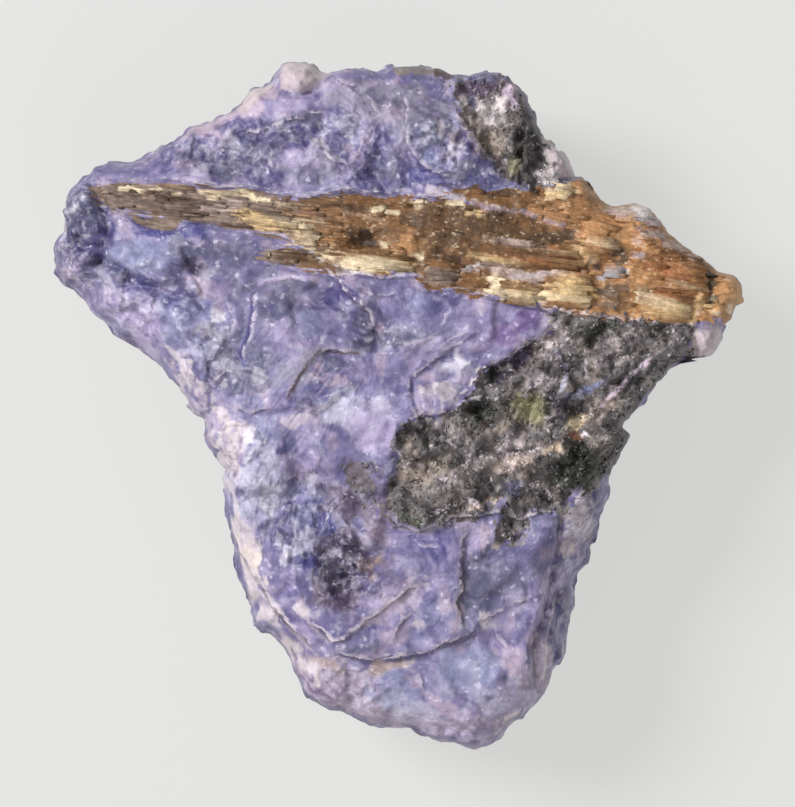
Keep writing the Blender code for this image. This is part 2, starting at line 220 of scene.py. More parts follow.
def inside(x, y, shape, softness):
    """1 inside a closed shape and 0 outside: the crossings of a level ray are odd inside."""
    corners = on_stone(shape)
    crossings = np.zeros(x.shape, bool)
    for start, end in zip(corners, np.roll(corners, -1, axis=0)):
        spans = (start[1] > y) != (end[1] > y)
        rise = end[1] - start[1] if end[1] != start[1] else 1.0
        crossings ^= spans & (x < start[0] + (y - start[1]) * (end[0] - start[0]) / rise)
    away = to_line(x, y, shape + shape[:1])[0]
    return smooth_step(np.where(crossings, away, -away), -softness, softness)


# %% [markdown]
# ## The outline
# Seen from above, every point of the outline can be reached in a straight line from one place
# inside, so the outline is a reach in each direction from there. The points below follow every
# notch that is wider than a few squares, and waves and small clumps roughen the rim between them.
# Averages of the reach give the rounder outlines that the grid and the back are built on.

# %% The outline and its reach
OUTLINE_MIDDLE = (385, 352)
OUTLINE = points(
    """
    50,250 51,243 55,237 60,230 62,219 61,210 64,204 67,195 70,188 74,183 80,176 87,172 90,165 97,163
    103,161 112,160 126,161 133,159 140,157 147,153 155,148 163,142 172,139 180,133 188,127 197,124
    205,122 215,118 223,112 232,107 240,102 242,96 248,89 253,86 263,84 269,79 272,72 277,67 282,61 290,59
    303,60 310,62 315,65 320,70 327,71 337,70 347,67 368,67 377,70 383,68 392,65 402,64 413,64 425,66
    437,66 445,69 453,72 463,74 472,73 480,71 490,70 503,70 510,73 515,80 521,87 527,95 530,105 536,118
    537,127 541,133 547,138 553,144 562,152 568,160 572,168 575,177 582,178 587,182 593,190 598,198
    605,203 613,207 622,205 632,204 643,205 652,208 658,217 666,227 670,235 680,243 691,250 701,257
    711,263 714,268 720,272 726,273 735,275 739,279 743,285 745,294 744,303 738,305 735,312 735,319
    729,325 727,329 723,336 723,343 719,349 712,357 703,361 695,359 688,360 680,364 671,370 666,378
    660,384 650,397 642,407 633,418 625,423 622,428 630,435 629,443 622,453 614,468 612,480 611,497
    607,510 602,518 601,527 598,540 593,551 592,558 587,568 580,578 576,588 578,600 576,616 571,630
    570,645 567,660 560,670 555,676 550,688 546,697 541,706 534,712 528,719 517,727 510,732 501,741
    494,747 483,750 476,753 462,751 452,748 440,745 428,740 418,737 407,734 393,733 380,732 370,731
    362,727 353,722 345,717 332,715 322,712 312,706 304,698 300,688 293,677 290,663 285,653 277,645
    268,638 260,636 253,628 249,617 248,603 242,593 238,580 234,567 232,553 231,543 227,527 225,510
    224,493 222,483 223,473 218,461 213,453 207,445 204,437 205,430 203,421 197,417 188,407 182,397
    177,388 170,380 163,372 155,363 147,357 138,349 128,345 118,340 112,334 108,327 101,322 92,315 87,308
    82,301 73,293 69,289 61,286 55,277 50,271 52,263 51,257
    """
)
STEPS_PER_DEGREE = 4
FAN = np.radians(np.arange(0.0, 360.0, 1.0 / STEPS_PER_DEGREE))
middle = on_stone(OUTLINE_MIDDLE)


def polar_outline():
    """Distance and angle of each outline point from the middle, read off in every direction."""
    spokes = on_stone(OUTLINE) - middle
    angles = np.arctan2(spokes[:, 1], spokes[:, 0]) % (2.0 * math.pi)
    order = np.argsort(angles)
    return np.interp(FAN, angles[order], np.hypot(*spokes.T)[order], period=2.0 * math.pi)


def rounded(reach, degrees):
    """The reach averaged over this many degrees to each side."""
    steps = round(STEPS_PER_DEGREE * degrees)
    return sum(np.roll(reach, step) for step in range(-steps, steps + 1)) / (2 * steps + 1)


def in_direction(angle, values):
    """Values that are given for every direction of the fan, read off at other angles."""
    return np.interp(angle, FAN, values, period=2.0 * math.pi)


SMOOTH_REACH = polar_outline()
SOFT_REACH = rounded(SMOOTH_REACH, 7)
EVEN_REACH = rounded(SMOOTH_REACH, 22)
BACK_REACH = 0.80 * SOFT_REACH
rim_x, rim_y = middle[0] + SMOOTH_REACH * np.cos(FAN), middle[1] + SMOOTH_REACH * np.sin(FAN)
REACH = SMOOTH_REACH + 0.20 * broken_surface(rim_x, rim_y, 12.0, (1.7, 0.9, 0.5))
REACH = REACH + 0.22 * clumps(rim_x, rim_y, 1.5, 20.0)
print(f"{len(OUTLINE)} outline points, reach {REACH.min():.1f} to {REACH.max():.1f} mm")

# %% [markdown]
# ## Nothing straight
# A break in rock is never a clean line. Before the surface or the paint asks how far a line or a
# border is, the place is pushed about by waves, by the same amount for both, so that a pale edge
# lies exactly on its ledge.

# %% The push
def wandering(x, y, z):
    """Three waves for a push along X and three for a push along Y, in millimetres."""
    kinds = ((0.80, 3.4), (0.42, 1.5), (0.26, 0.75))  # height and length
    return tuple(
        sum(height * waves(x, y, z + shift, size) for height, size in kinds) for shift in (50.0, 70.0)
    )


def nudged(x, y, push, share):
    """Places moved by this share of their push."""
    return x + share * push[0], y + share * push[1]


# %% [markdown]
# ## What broke where
# Plates of charoite break off and leave ledges: the plate lifts towards its edge and drops on the
# other side. Cracks are narrow grooves. Lumps and hollows are soft. The heights are in millimetres
# and the same as in the solid, so the fine surface lies on it. Places are on the layout sheet.

# %% Ledges, grooves and lumps
# Ledges: drop, how far the plate lifts, line with the plate on the left of the walk
LEDGES = lines(
    """
    1.7 3.2: 300,617 322,628 332,640 346,639 362,624 400,597 413,585 430,582;
    1.9 3.6: 322,655 340,652 370,660 395,658 425,653 445,643 475,630 490,632;
    .9 2.4: 394,645 396,634 405,620 414,610; 1.3 3: 466,630 457,603 464,590 464,570 462,540 470,525;
    2.3 3: 534,690 534,650 540,625 547,602 551,575 557,550 562,515;
    1.3 3.4: 322,268 340,285 350,297 366,314 372,330;
    .8 3: 284,404 293,391 302,375 314,358 332,351 348,352 364,355;
    1.5 3.2: 398,430 411,420 424,415 438,417 450,411 457,400 472,388 480,372 505,361 545,337 552,318;
    .7 2.6: 413,408 411,380 440,360 463,343 480,333;
    .9 2: 255,232 282,238 303,252 322,264 350,275 390,281 420,278 432,292;
    1 2: 432,292 470,294 505,304 540,312 580,318 640,323 672,327 722,328;
    1.1 2.4: 150,178 205,188 262,194 310,200 345,195 385,195 430,200 480,208;
    1.1 2.6: 512,184 500,168 486,154 468,130 449,103; .9 2.8: 402,128 405,145 418,166 440,178 475,184;
    .9 2.2: 240,138 262,134 290,126 312,119 330,117;
    1.3 2.6: 388,505 397,528 415,531 435,527 460,515 500,512 520,520 562,508;
    1 2.4: 256,290 254,315 250,335 243,352 243,366;
    .9 2.6: 228,400 252,414 290,408 320,414 336,402 346,392;
    1.5 2.6: 226,525 240,555 262,590 272,606 300,634 318,652; .8 2.4: 476,622 495,614 514,604 530,598;
    """
)
# Grooves: depth, half width, line
GROOVES = lines(
    """
    1.5 .8: 92,186 103,205 110,232 106,254 100,262; .9 .6: 100,262 122,268 143,288 188,291 206,312;
    .8 .6: 60,226 82,216 86,232 70,256 52,268; 1.2 .7: 706,264 711,285 709,306;
    1.2 .7: 690,330 691,345 690,358; 1.2 .5: 560,520 551,575 547,602 534,650 536,672;
    1 .6: 556,600 562,628 554,660; .8 .5: 188,255 197,275 206,300; .9 .6: 278,90 300,98 322,88;
    .7 .6: 372,170 384,190 400,194;
    """
)
# Lumps, and hollows where the height is negative: height, half widths in millimetres, middle
LUMPS = lines(
    """
    2.2 2.4 2: 730,289; 1.4 2 1.8: 706,345; .7 2.8 1.7: 300,76; .5 1.8 1.2: 256,98; 1 1.5 2: 558,160;
    1.4 2.4 1.6: 636,216; 1.6 3.4 3.2: 78,212; 1 2.6 2.2: 76,262; 1.4 4.2 4: 440,140; .9 1.8 4.2: 362,148;
    1.3 5 3: 306,158; -1.6 2 1.3: 364,245; -1.5 3.4 3: 345,580; -1.2 1.8 4.2: 360,488; -1 2.2 3: 372,178;
    -.9 2.6 1.8: 330,302; 1.1 4 2.6: 300,335; 1 4.6 3: 372,420; -.8 2.6 2.2: 325,392; 1 3.4 3: 248,490;
    -1 2.6 2.2: 300,470; 1.1 3.2 2.8: 420,560; .9 5 4: 470,675; -1 1.3 1: 606,262; 1.1 2.6 1.7: 597,242;
    1 3.4 2: 570,296; -.9 3 2.6: 235,165; .9 3 2.2: 165,262; -.9 2.2 1.6: 190,275;
    """
)
# Small flakes and hairline cracks, too fine for the solid: drop, lift, line with the flake on its left
FLAKES = lines(
    """
    .5 1.2: 210,386 222,378 236,372 252,372 268,381; .4 1: 400,350 422,343 440,338;
    .4 1: 424,357 438,351 456,339 470,333; .5 1.2: 262,288 285,281 310,281;
    .5 1.2: 262,416 290,409 312,410; .5 1.4: 250,458 260,448 272,440;
    .6 1.2: 302,503 286,505 277,520 276,545; .5 1.2: 370,574 384,588 380,600;
    .5 1.2: 440,303 446,312 440,326; .6 1.4: 120,266 132,274 144,288 158,290;
    .5 1.4: 330,76 348,86 366,100 380,122; .6 1.4: 398,98 406,112 402,128; .5 1.2: 452,80 448,92 440,100;
    .6 1.4: 345,176 356,162 366,146 376,126; .5 1.2: 268,150 270,168 264,186;
    .5 1.2: 428,705 445,722 462,741; .5 1.2: 455,729 478,729; .5 1.4: 318,672 340,668 368,668 384,676;
    .5 1.2: 420,700 424,684 416,670; .6 1.2: 492,628 500,642 506,650; .6 1.2: 540,700 530,690 528,676;
    .7 1.2: 572,590 566,612 560,640; .6 1.2: 585,560 578,575 572,590; .6 1.2: 588,495 590,515 584,535;
    .5 1.2: 198,256 212,240 222,228; .5 1.2: 225,300 236,318 232,336; .4 1: 355,290 380,300 400,296;
    .5 1.2: 410,540 424,548 440,546;
    """
)
# Where the stone broke hackly and not in smooth plates: how much, half widths in squares, middle
HACKLY = lines(
    """
    1 34 62: 80,235; .9 62 22: 165,150; .8 64 40: 150,300; .7 60 32: 250,150; .8 48 40: 345,150;
    .9 46 30: 450,150; .6 34 40: 205,360; .6 28 60: 240,470; .8 40 60: 300,520; .8 36 48: 350,560;
    .9 24 50: 590,520; .9 18 70: 556,620; .7 66 26: 340,690; .7 80 16: 470,728; .6 34 18: 385,340;
    .5 60 60: 520,160;
    """
)


# %% [markdown]
# ## Where each mineral is
# The band is one closed shape that tapers to the left. The dark aegirine makes two masses, one
# under the band and a small one at the top. Between them a few grains are sprinkled over the
# charoite. Quartz sits in four glassy lumps on the rim.

# %% The minerals' shapes
BAND_TILT = math.radians(-6.5)  # the blades' direction from +X
SPLINTER_TILT = -0.11  # the fine splinters' direction, in radians
BAND = points(
    """
    88,188 110,186 137,183 180,187 262,196 310,201 345,196 430,201 470,206 440,190 500,192 545,190 592,176
    646,192 682,226 740,262 760,296 748,318 722,323 672,325 580,317 505,302 430,291 415,276 350,276
    320,273 296,270 270,265 260,258 268,252 290,251 303,251 284,238 256,233 209,226 184,224 178,232
    154,230 132,222 130,216 150,219 166,220 141,215 109,211 94,200
    """
)
MASSES = [  # the large one, and the small one at the top
    points(
        """
        547,318 545,335 503,362 480,371 473,390 457,400 450,412 437,418 424,415 410,421 397,433 390,445
        397,465 382,505 397,528 435,526 468,518 505,500 495,545 515,545 535,510 560,520 575,490 590,493
        612,470 630,437 624,423 690,360 694,322 640,315 570,310
        """
    ),
    points(
        """
        450,85 470,78 500,72 512,80 530,105 545,140 555,170 570,182 540,195 500,178 470,140 455,110
        """
    ),
]
SPRINKLED = points("345,462 372,455 384,480 378,512 352,516 340,490")
QUARTZ = [
    points("284,92 279,76 286,56 300,54 318,64 332,72 322,84 300,96"),
    points("236,110 238,96 252,80 267,78 270,90 262,100 248,112"),
    points("540,128 556,140 574,160 578,180 562,178 550,168 541,150"),
    points("690,336 700,330 722,326 730,345 714,362 698,366 686,360"),
]

# %% [markdown]
# ## Fibres
# Charoite is a felt of fine fibres that swirl. To draw them, white noise is smeared along a field
# of directions: each place averages the noise that lies along its own direction, so streaks appear
# where neighbours agree. The directions are given at some fifty places. Between them they are
# blended as doubled angles, because a fibre at 10 degrees and one at 190 run the same way.

# %% The directions that the fibres run in
# Direction in degrees from +X, and the place
SWIRL = lines(
    """
    70: 80,200; 40: 80,255; -30: 110,175; 30: 150,160; 65: 200,150; 30: 250,120; 35: 300,100;
    -45: 345,100; -15: 330,135; 68: 365,140; -28: 400,90; -25: 435,82; -80: 418,130; 15: 440,115;
    -20: 440,165; -58: 465,135; -40: 300,165; 35: 335,175; 70: 385,175; -20: 150,270; -12: 190,250;
    -45: 200,330; 75: 240,310; 8: 300,290; 60: 260,345; 60: 300,380; -50: 350,305; -25: 395,300;
    30: 450,320; 30: 430,350; 22: 480,330; 20: 360,385; -70: 400,400; 12: 350,430; -55: 235,430;
    40: 280,460; 84: 245,500; 60: 300,530; -60: 290,580; 15: 340,620; 38: 390,595; -40: 430,555;
    70: 440,605; 75: 480,530; 60: 495,580; 62: 520,640; -20: 470,670; -10: 400,700; 15: 335,690;
    -42: 460,730; 80: 560,590; 84: 550,650; 82: 590,510;
    """
)


def smear(noise, heading, pixel, length):
    """The mean of the noise at steps of one pixel, walked both ways along the heading."""
    side = noise.shape[0]
    total = noise.copy()
    for way in (-1.0, 1.0):
        row, column = np.mgrid[0:side, 0:side].astype(float)
        for _ in range(round(length / pixel / 2)):
            at = tuple(np.clip(place.astype(int), 0, side - 1) for place in (row, column))
            column += way * np.cos(heading[at])
            row += way * np.sin(heading[at])
            total += noise[tuple(np.clip(place.astype(int), 0, side - 1) for place in (row, column))]
    return (total - total.mean()) / total.std()


FIBRE_PIXEL = 0.15
FIBRE_HALF = 48.0  # the field reaches this far from the stone's middle
SWIRL_REACH = 4.5  # how far one set direction holds
fibre_line = np.arange(-FIBRE_HALF, FIBRE_HALF, FIBRE_PIXEL)
fibre_x, fibre_y = np.meshgrid(fibre_line, fibre_line)
doubled_x, doubled_y = np.zeros(fibre_x.shape), np.zeros(fibre_x.shape)
for degrees, (place,) in SWIRL:
    place_x, place_y = on_stone(place)
    squared = (fibre_x - place_x) ** 2 + (fibre_y - place_y) ** 2
    weight = np.exp(-squared / (2.0 * SWIRL_REACH**2)) + 1e-9
    doubled_x += weight * math.cos(math.radians(2 * degrees))
    doubled_y += weight * math.sin(math.radians(2 * degrees))
heading = 0.5 * np.arctan2(doubled_y, doubled_x) + 0.55 * waves(fibre_x, fibre_y, 5.0, 3.6)
chance = np.random.default_rng(5)
white = chance.normal(size=fibre_x.shape)
coarse = sum(np.roll(white, shift, axis) for shift in (-1, 0, 1) for axis in (0, 1))
fine_fibres = smear(white, heading, FIBRE_PIXEL, 1.6)
long_fibres = smear(coarse, heading, FIBRE_PIXEL, 4.5)
print("fibres smeared on", fibre_x.shape, "places")


def read_fibres(field, x, y):
    """The four nearest places of the field, blended by how near each one is."""
    column, row = (np.clip((place + FIBRE_HALF) / FIBRE_PIXEL, 0, len(fibre_line) - 2) for place in (x, y))
    left, low = column.astype(int), row.astype(int)
    over, up = column - left, row - low
    bottom = field[low, left] * (1 - over) + field[low, left + 1] * over
    top = field[low + 1, left] * (1 - over) + field[low + 1, left + 1] * over
    return bottom * (1 - up) + top * up


# %% [markdown]
# ## The height of the show face
# The face is a shallow dome with waves, then each mineral adds its own texture, and the ledges,
# grooves and lumps come last. Where the tinaksite is, the ground is held down a little, because
# separate blades will lie on it.

# %% How the face ends, and how the band is cut into blocks
# How the face rounds over at its edge: direction in degrees to (drop, rounding width)
EDGES = {
    0: (5.0, 1.8), 12: (5.0, 1.6), 30: (4.0, 1.5), 48: (5.0, 1.2), 70: (6.0, 0.9), 95: (6.0, 0.9),
    112: (9.0, 1.6), 130: (7.0, 1.4), 150: (6.0, 1.6), 168: (8.0, 3.2), 185: (8.0, 2.6), 205: (6.0, 1.6),
    225: (8.0, 2.4), 240: (9.0, 3.0), 258: (8.0, 3.0), 275: (7.0, 2.2), 292: (8.0, 2.4), 306: (12.0, 4.0),
    320: (11.0, 3.2), 338: (7.0, 1.6), 352: (6.0, 1.4),
}


def blocks(x, y):
    """The band is cut into rows along it and each row into blocks: for each place the middle of its
    block, as x and y, and a chance value of it. The blocks are long and thin on the left."""
    along, across = turned(x, y, BAND_TILT)
    long_ones = x < -8.0
    high = np.where(long_ones, 0.55, 1.05)
    row = np.floor((across + 0.25 * waves(x / 3.0, y, 14.0, 1.6)) / high).astype(int)
    wide = np.where(long_ones, 6.5, 2.7) * (1.0 + 0.45 * CHANCE[row % LATTICE, 7, 0])
    start = 3.0 * CHANCE[row % LATTICE, 3, 1] + 0.12 * waves(x, y, 15.0, 0.9)
    number = np.floor((along + start) / wide).astype(int)
    middle_x, middle_y = turned((number + 0.5) * wide - start, (row + 0.5) * high, -BAND_TILT)
    return middle_x, middle_y, CHANCE[row % LATTICE, number % LATTICE, 0]


def hackly(x, y):
    """The strongest of the hackly places here, each e^(-(distance over its half widths)^4)."""
    most = np.full(np.shape(x), 0.12)
    for amount, half_x, half_y, (place,) in HACKLY:
        place_x, place_y = on_stone(place)
        across, up = (x - place_x) / (half_x * SQUARE), (y - place_y) / (half_y * SQUARE)
        most = np.maximum(most, amount * np.exp(-((across**2 + up**2) ** 2)))
    return most


# %% What each mineral's broken surface is like
def plate_relief(x, y, near_x, near_y):
    """Charoite: wide tilted plates with fibres that stand a little proud. Where it broke hackly, chips
    of two sizes are bold, and on smooth plates they fade."""
    rough = hackly(x, y)
    chips = 0.50 * clumps(near_x + 9.0, near_y, 2.9, 26.0) + 0.34 * clumps(near_y, near_x, 1.5, 22.0)
    relief = 0.6 * clumps(near_x, near_y, 6.5) + rough * chips
    relief += (0.20 * rough + 0.05) * broken_surface(x + 5.0, y, 5.0, (1.3, 0.8, 0.5))
    return relief + 0.035 * read_fibres(long_fibres, x, y) + 0.015 * read_fibres(fine_fibres, x, y)


def quartz_relief(x, y):
    """Quartz: glassy lumps with a few flat chips."""
    return 0.5 * clumps(x + 2.0, y, 2.2, 20.0) + 0.22 * clumps(x, y + 2.0, 1.1, 20.0)


def mass_relief(x, y):
    """Aegirine: clots of clots of grains, each size about half of the one above it."""
    relief = 1.1 * clumps(x, y, 3.6) + 0.42 * clumps(y + 5.0, x, 1.7, 20.0)
    return relief + 0.24 * clumps(x + 3.0, y, 0.95, 18.0) + 0.15 * broken_surface(x, y, 4.0, (0.9, 0.6))


def band_relief(x, y):
    """Tinaksite: splinters, which are waves drawn out along the band, and blocks right of the middle."""
    along, across = turned(x, y, SPLINTER_TILT)
    blocky = smooth_step(x, -12.0, -4.0)
    splinters = (0.30 - 0.22 * blocky) * broken_surface(along / 6.0, across, 2.0, (1.3, 0.7, 0.42))
    return splinters + blocky * (0.16 * blocks(x, y)[2] + 0.14 * broken_surface(x, y, 3.0, (1.6, 0.9, 0.6)))


def ledge(x, y, drop, lift, line):
    """Half the drop x side x tanh(distance / cliff) x e^(-distance / lift), fading at both ends.
    The cliff is wider where the drop is higher."""
    away, side, walked = to_line(x, y, line)
    cliff = 0.25 + 0.25 * drop
    held = smooth_step(walked, 0.0, 0.12) * smooth_step(1.0 - walked, 0.0, 0.12)
    return 0.5 * drop * held * side * np.tanh(away / cliff) * np.exp(-away / lift)


# %% The show face as one function of two coordinates
MIDDLE_HEIGHT = 30.0
DOME = 0.0019  # how fast the face falls towards its edges, per millimetre squared
LEAN = 0.015  # how fast it rises towards +Y
LITTLE = 0.35  # the share of the push that ledges and cracks take
MUCH = 0.8  # the share that the masses' borders take
BAND_BED = 0.25  # how far the band's ground is held down under its blades


def show_face(x, y):
    """Dome + lean + waves + each mineral's own relief + ledges - grooves + lumps."""
    push = wandering(x, y, 0.0)
    near_x, near_y = nudged(x, y, push, LITTLE)
    band = inside(x, y, BAND, 0.5)
    masses = sum(inside(*nudged(x, y, push, MUCH), mass, 0.5) for mass in MASSES)
    quartz = sum(inside(x, y, lump, 0.6) for lump in QUARTZ)
    plain = (1.0 - band) * (1.0 - masses) * (1.0 - 0.7 * quartz)
    height = MIDDLE_HEIGHT - DOME * (x * x + y * y) + LEAN * y
    height += 0.8 * (1.0 - 0.6 * band) * broken_surface(x, y, 0.0)
    height += plain * plate_relief(x, y, near_x, near_y)
    height += quartz * quartz_relief(x, y)
    height += masses * mass_relief(x, y)
    height += inside(x, y, SPRINKLED, 1.2) * 0.15 * clumps(x, y, 1.3, 18.0)
    height += band * (band_relief(x, y) - BAND_BED)
    height += sum(ledge(near_x, near_y, *one) for one in LEDGES)
    height += sum(ledge(near_x, near_y, 0.8 * drop, lift, line) for drop, lift, line in FLAKES)
    for depth, half_width, line in GROOVES:
        height -= depth * np.exp(-((to_line(near_x, near_y, line)[0] / half_width) ** 2))
    for lift, half_x, half_y, (place,) in LUMPS:
        place_x, place_y = on_stone(place)
        height += lift * np.exp(-(((x - place_x) / half_x) ** 2) - ((y - place_y) / half_y) ** 2)
    return height


def shaped_top(x, y, rim=None):
    """The show face less the edge's drop x e^(-distance to the outline / rounding width)."""
    angle = np.arctan2(y - middle[1], x - middle[0]) % (2.0 * math.pi)
    directions = np.radians(list(EDGES))
    drops, widths = np.array(list(EDGES.values())).T
    drop = np.interp(angle, directions, drops, period=2.0 * math.pi)
    width = np.interp(angle, directions, widths, period=2.0 * math.pi)
    to_edge = to_line(x, y, OUTLINE + OUTLINE[:1])[0]
    if rim is not None:
        to_edge = np.where(rim, 0.0, to_edge)
    return show_face(x, y) - drop * np.exp(-to_edge / (0.65 * width))


# %% [markdown]
# ## One closed surface
# The face is a square grid bent onto the outline: the squares' rings become rings of the stone.
# The sides and the back carry on from its rim as rings that go down and inwards. A ring may have
# half as many points as the one above it, because the back needs fewer.

# %% The measures of the face, the sides and the back
FACE_CELLS = 256
SIDE_RINGS = 32
BACK_RINGS = 22
SIDE_RELIEF = 3.0  # how deep the sides are chipped
SIDE_BLOCK = 8.0  # one chip of the sides
BLOCKS_AROUND = 32
BACK_RELIEF = 2.4  # how far the broken back rises off the surface between its flats
BACK_FLAT_RADIUS = 9.0  # the flat that the stone mainly lies on
BACK_LIFT = 2.6  # how far the back's rim is off the surface


def at_reach(angle, reach):
    """The place that is this far from the outline's middle at this angle."""
    return middle[0] + reach * np.cos(angle), middle[1] + reach * np.sin(angle)


def square_to_fan(a, b):
    """A place on the square from -1 to 1: its ring's share, and the angle that it gets on the disc."""
    share = np.maximum(np.abs(a), np.abs(b))
    flat_way = np.abs(a) > np.abs(b)
    long_side, short_side = np.where(flat_way, a, b), np.where(flat_way, b, a)
    turn = np.divide(short_side, long_side, out=np.zeros_like(share), where=share > 1e-9)
    angle = np.where(flat_way, math.pi / 4.0 * turn, math.pi / 2.0 - math.pi / 4.0 * turn)
    return share, (angle + np.where(long_side < 0.0, math.pi, 0.0)) % (2.0 * math.pi)


# %% The grid of the face
def face_grid(cells):
    """radius = share x (even reach + (reach - even reach) x share^2), then the face's height. The
    even reach hardly changes with direction, so the squares stay square in the middle. Each is cut
    along its shorter diagonal."""
    line = np.linspace(-1.0, 1.0, cells + 1)
    b, a = (grid.ravel() for grid in np.meshgrid(line, line, indexing="ij"))
    share, angle = square_to_fan(a, b)
    reach, even = in_direction(angle, REACH), in_direction(angle, EVEN_REACH)
    radius = share * (even + (reach - even) * share**2)
    x, y = at_reach(angle, radius)
    z = shaped_top(x, y, rim=share > 1.0 - 1e-9)
    number = np.arange((cells + 1) ** 2).reshape(cells + 1, cells + 1)
    low_left, low_right = number[:-1, :-1].ravel(), number[:-1, 1:].ravel()
    top_left, top_right = number[1:, :-1].ravel(), number[1:, 1:].ravel()
    rising = np.hypot(x[top_right] - x[low_left], y[top_right] - y[low_left])
    falling = np.hypot(x[top_left] - x[low_right], y[top_left] - y[low_right])
    third = np.where(rising < falling, top_right, top_left)
    fourth = np.where(rising < falling, low_left, low_right)
    halves = ((low_left, low_right, third), (fourth, top_right, top_left))
    triangles = np.concatenate([np.column_stack(half) for half in halves])
    rim = np.concatenate([number[0, :-1], number[:-1, -1], number[-1, :0:-1], number[:0:-1, 0]])
    return np.column_stack((x, y, z)), triangles, rim, angle[rim]


# %% The rings of the sides and the back
def shaped_back(x, y, share):
    """Blocks and waves that are cut off level where the stone lies, and lifted at the rim."""
    relief = BACK_RELIEF * (0.7 * clumps(x + 40.0, y, 9.0) + 1.1 * waves(x, y, 17.0, 7.5)) + 0.15
    relief += 0.35 * broken_surface(x, y, 3.0, (2.6, 1.3, 0.7)) * smooth_step(relief, 0.0, 0.8)
    relief *= smooth_step(np.hypot(x, y), BACK_FLAT_RADIUS, BACK_FLAT_RADIUS + 3.0)
    return np.maximum(relief, 0.0) + BACK_LIFT * smooth_step(share, 0.8, 1.0)


def side_ring(level, rim, angle):
    """The side at a level from 0 at the rim to 1 at the back, chipped inwards in blocks."""
    back_x, back_y = at_reach(angle, in_direction(angle, BACK_REACH))
    below = shaped_back(back_x, back_y, np.ones_like(angle))
    turn_in = 0.42 + 0.25 * waves(40.0 * np.cos(angle), 40.0 * np.sin(angle), 9.0, 14.0)
    lean = 0.12 * level + 0.88 * np.clip((level - turn_in) / (1.0 - turn_in), 0.0, 1.0)
    x = (1.0 - lean) * rim[:, 0] + lean * back_x
    y = (1.0 - lean) * rim[:, 1] + lean * back_y
    z = (1.0 - level) * rim[:, 2] + level * below
    around = angle / (2.0 * math.pi) * BLOCKS_AROUND * SIDE_BLOCK
    wide = 0.5 + 0.6 * clumps(around, z + 3.0, SIDE_BLOCK) + 0.3 * broken_surface(x, y, z)
    fine = 0.30 * clumps(around, z + 3.0, SIDE_BLOCK / 4.0, 20.0)
    fine += 0.25 * broken_surface(x, y, z, (2.3, 1.2, 0.7))
    held = np.sqrt(np.sin(math.pi * level))
    chipped = held * (SIDE_RELIEF * np.clip(wide, 0.0, 1.5) + 0.8 * np.maximum(0.4 + fine, 0.0))
    return np.column_stack((x - chipped * np.cos(angle), y - chipped * np.sin(angle), z))


def back_ring(share, angle):
    """A ring of the back at this share of its reach."""
    x, y = at_reach(angle, share * in_direction(angle, BACK_REACH))
    return np.column_stack((x, y, shaped_back(x, y, np.full_like(angle, share))))


# %% Rings and grid joined into one closed mesh
def strip(upper, lower):
    """The triangles between two rings of point numbers. The lower may have half as many points."""
    after = np.roll(lower, -1)
    if len(upper) == len(lower):
        rows = ((upper, lower, after), (upper, after, np.roll(upper, -1)))
    else:
        even, odd = upper[::2], upper[1::2]
        rows = ((even, lower, odd), (odd, lower, after), (odd, after, np.roll(even, -1)))
    return np.concatenate([np.column_stack(row) for row in rows])


def closed_stone():
    """Face grid, then rings down the side and in over the back, and a fan that closes the middle."""
    corners, triangles, ring, angle = face_grid(FACE_CELLS)
    rim = corners[ring]
    corners, triangles = [corners], [triangles]
    total = len(corners[0])
    levels = np.append(np.linspace(0.0, 1.0, SIDE_RINGS + 1)[1:], np.linspace(1.0, 0.0, BACK_RINGS + 1)[1:-1])
    halve_at = {0, SIDE_RINGS, SIDE_RINGS + BACK_RINGS // 2, SIDE_RINGS + 3 * BACK_RINGS // 4}
    for step, level in enumerate(levels):
        if step in halve_at:
            angle, rim = angle[::2], rim[::2]
        made = side_ring(level, rim, angle) if step < SIDE_RINGS else back_ring(level, angle)
        lower = np.arange(total, total + len(made))
        triangles.append(strip(ring, lower))
        corners.append(made)
        total += len(made)
        ring = lower
    corners.append(back_ring(0.0, angle[:1]))
    triangles.append(np.column_stack((ring, np.full_like(ring, total), np.roll(ring, -1))))
    return np.concatenate(corners), np.concatenate(triangles)


raw_corners, stone_triangles = closed_stone()
low, high = raw_corners.min(0), raw_corners.max(0)
print(f"{len(stone_triangles)} triangles, before settling {low.round(2)} to {high.round(2)} mm")

# %% [markdown]
# ## Settling into the frame
# The solid was centred and brought to size after it was shaped. The same is done here from the
# frame's box, and one function keeps it, so that blades and grains settle with the stone. Another
# function writes the arrays of a piece into a Blender mesh, each array in one call.

# %% Settling, and writing a mesh
cad_low, cad_high = 1000.0 * np.array(cad_box[0]), 1000.0 * np.array(cad_box[1])
level_scale = (cad_high[0] - cad_low[0]) / (high[0] - low[0])
settle_scale = np.array([level_scale, level_scale, cad_high[2] / high[2]])
settle_shift = 0.5 * (cad_low + cad_high) - 0.5 * (low + high) * settle_scale
settle_shift[2] = 0.0


def settle(corners):
    """Millimetres on the sheet's stone to metres in the frame."""
    return 0.001 * (corners * settle_scale + settle_shift)


print("settled by", settle_scale.round(4), settle_shift.round(3))


def in_scene(name, data):
    """A new object that shows this mesh, camera or light, put into the scene."""
    item = bpy.data.objects.new(name, data)
    bpy.context.scene.collection.objects.link(item)
    return item


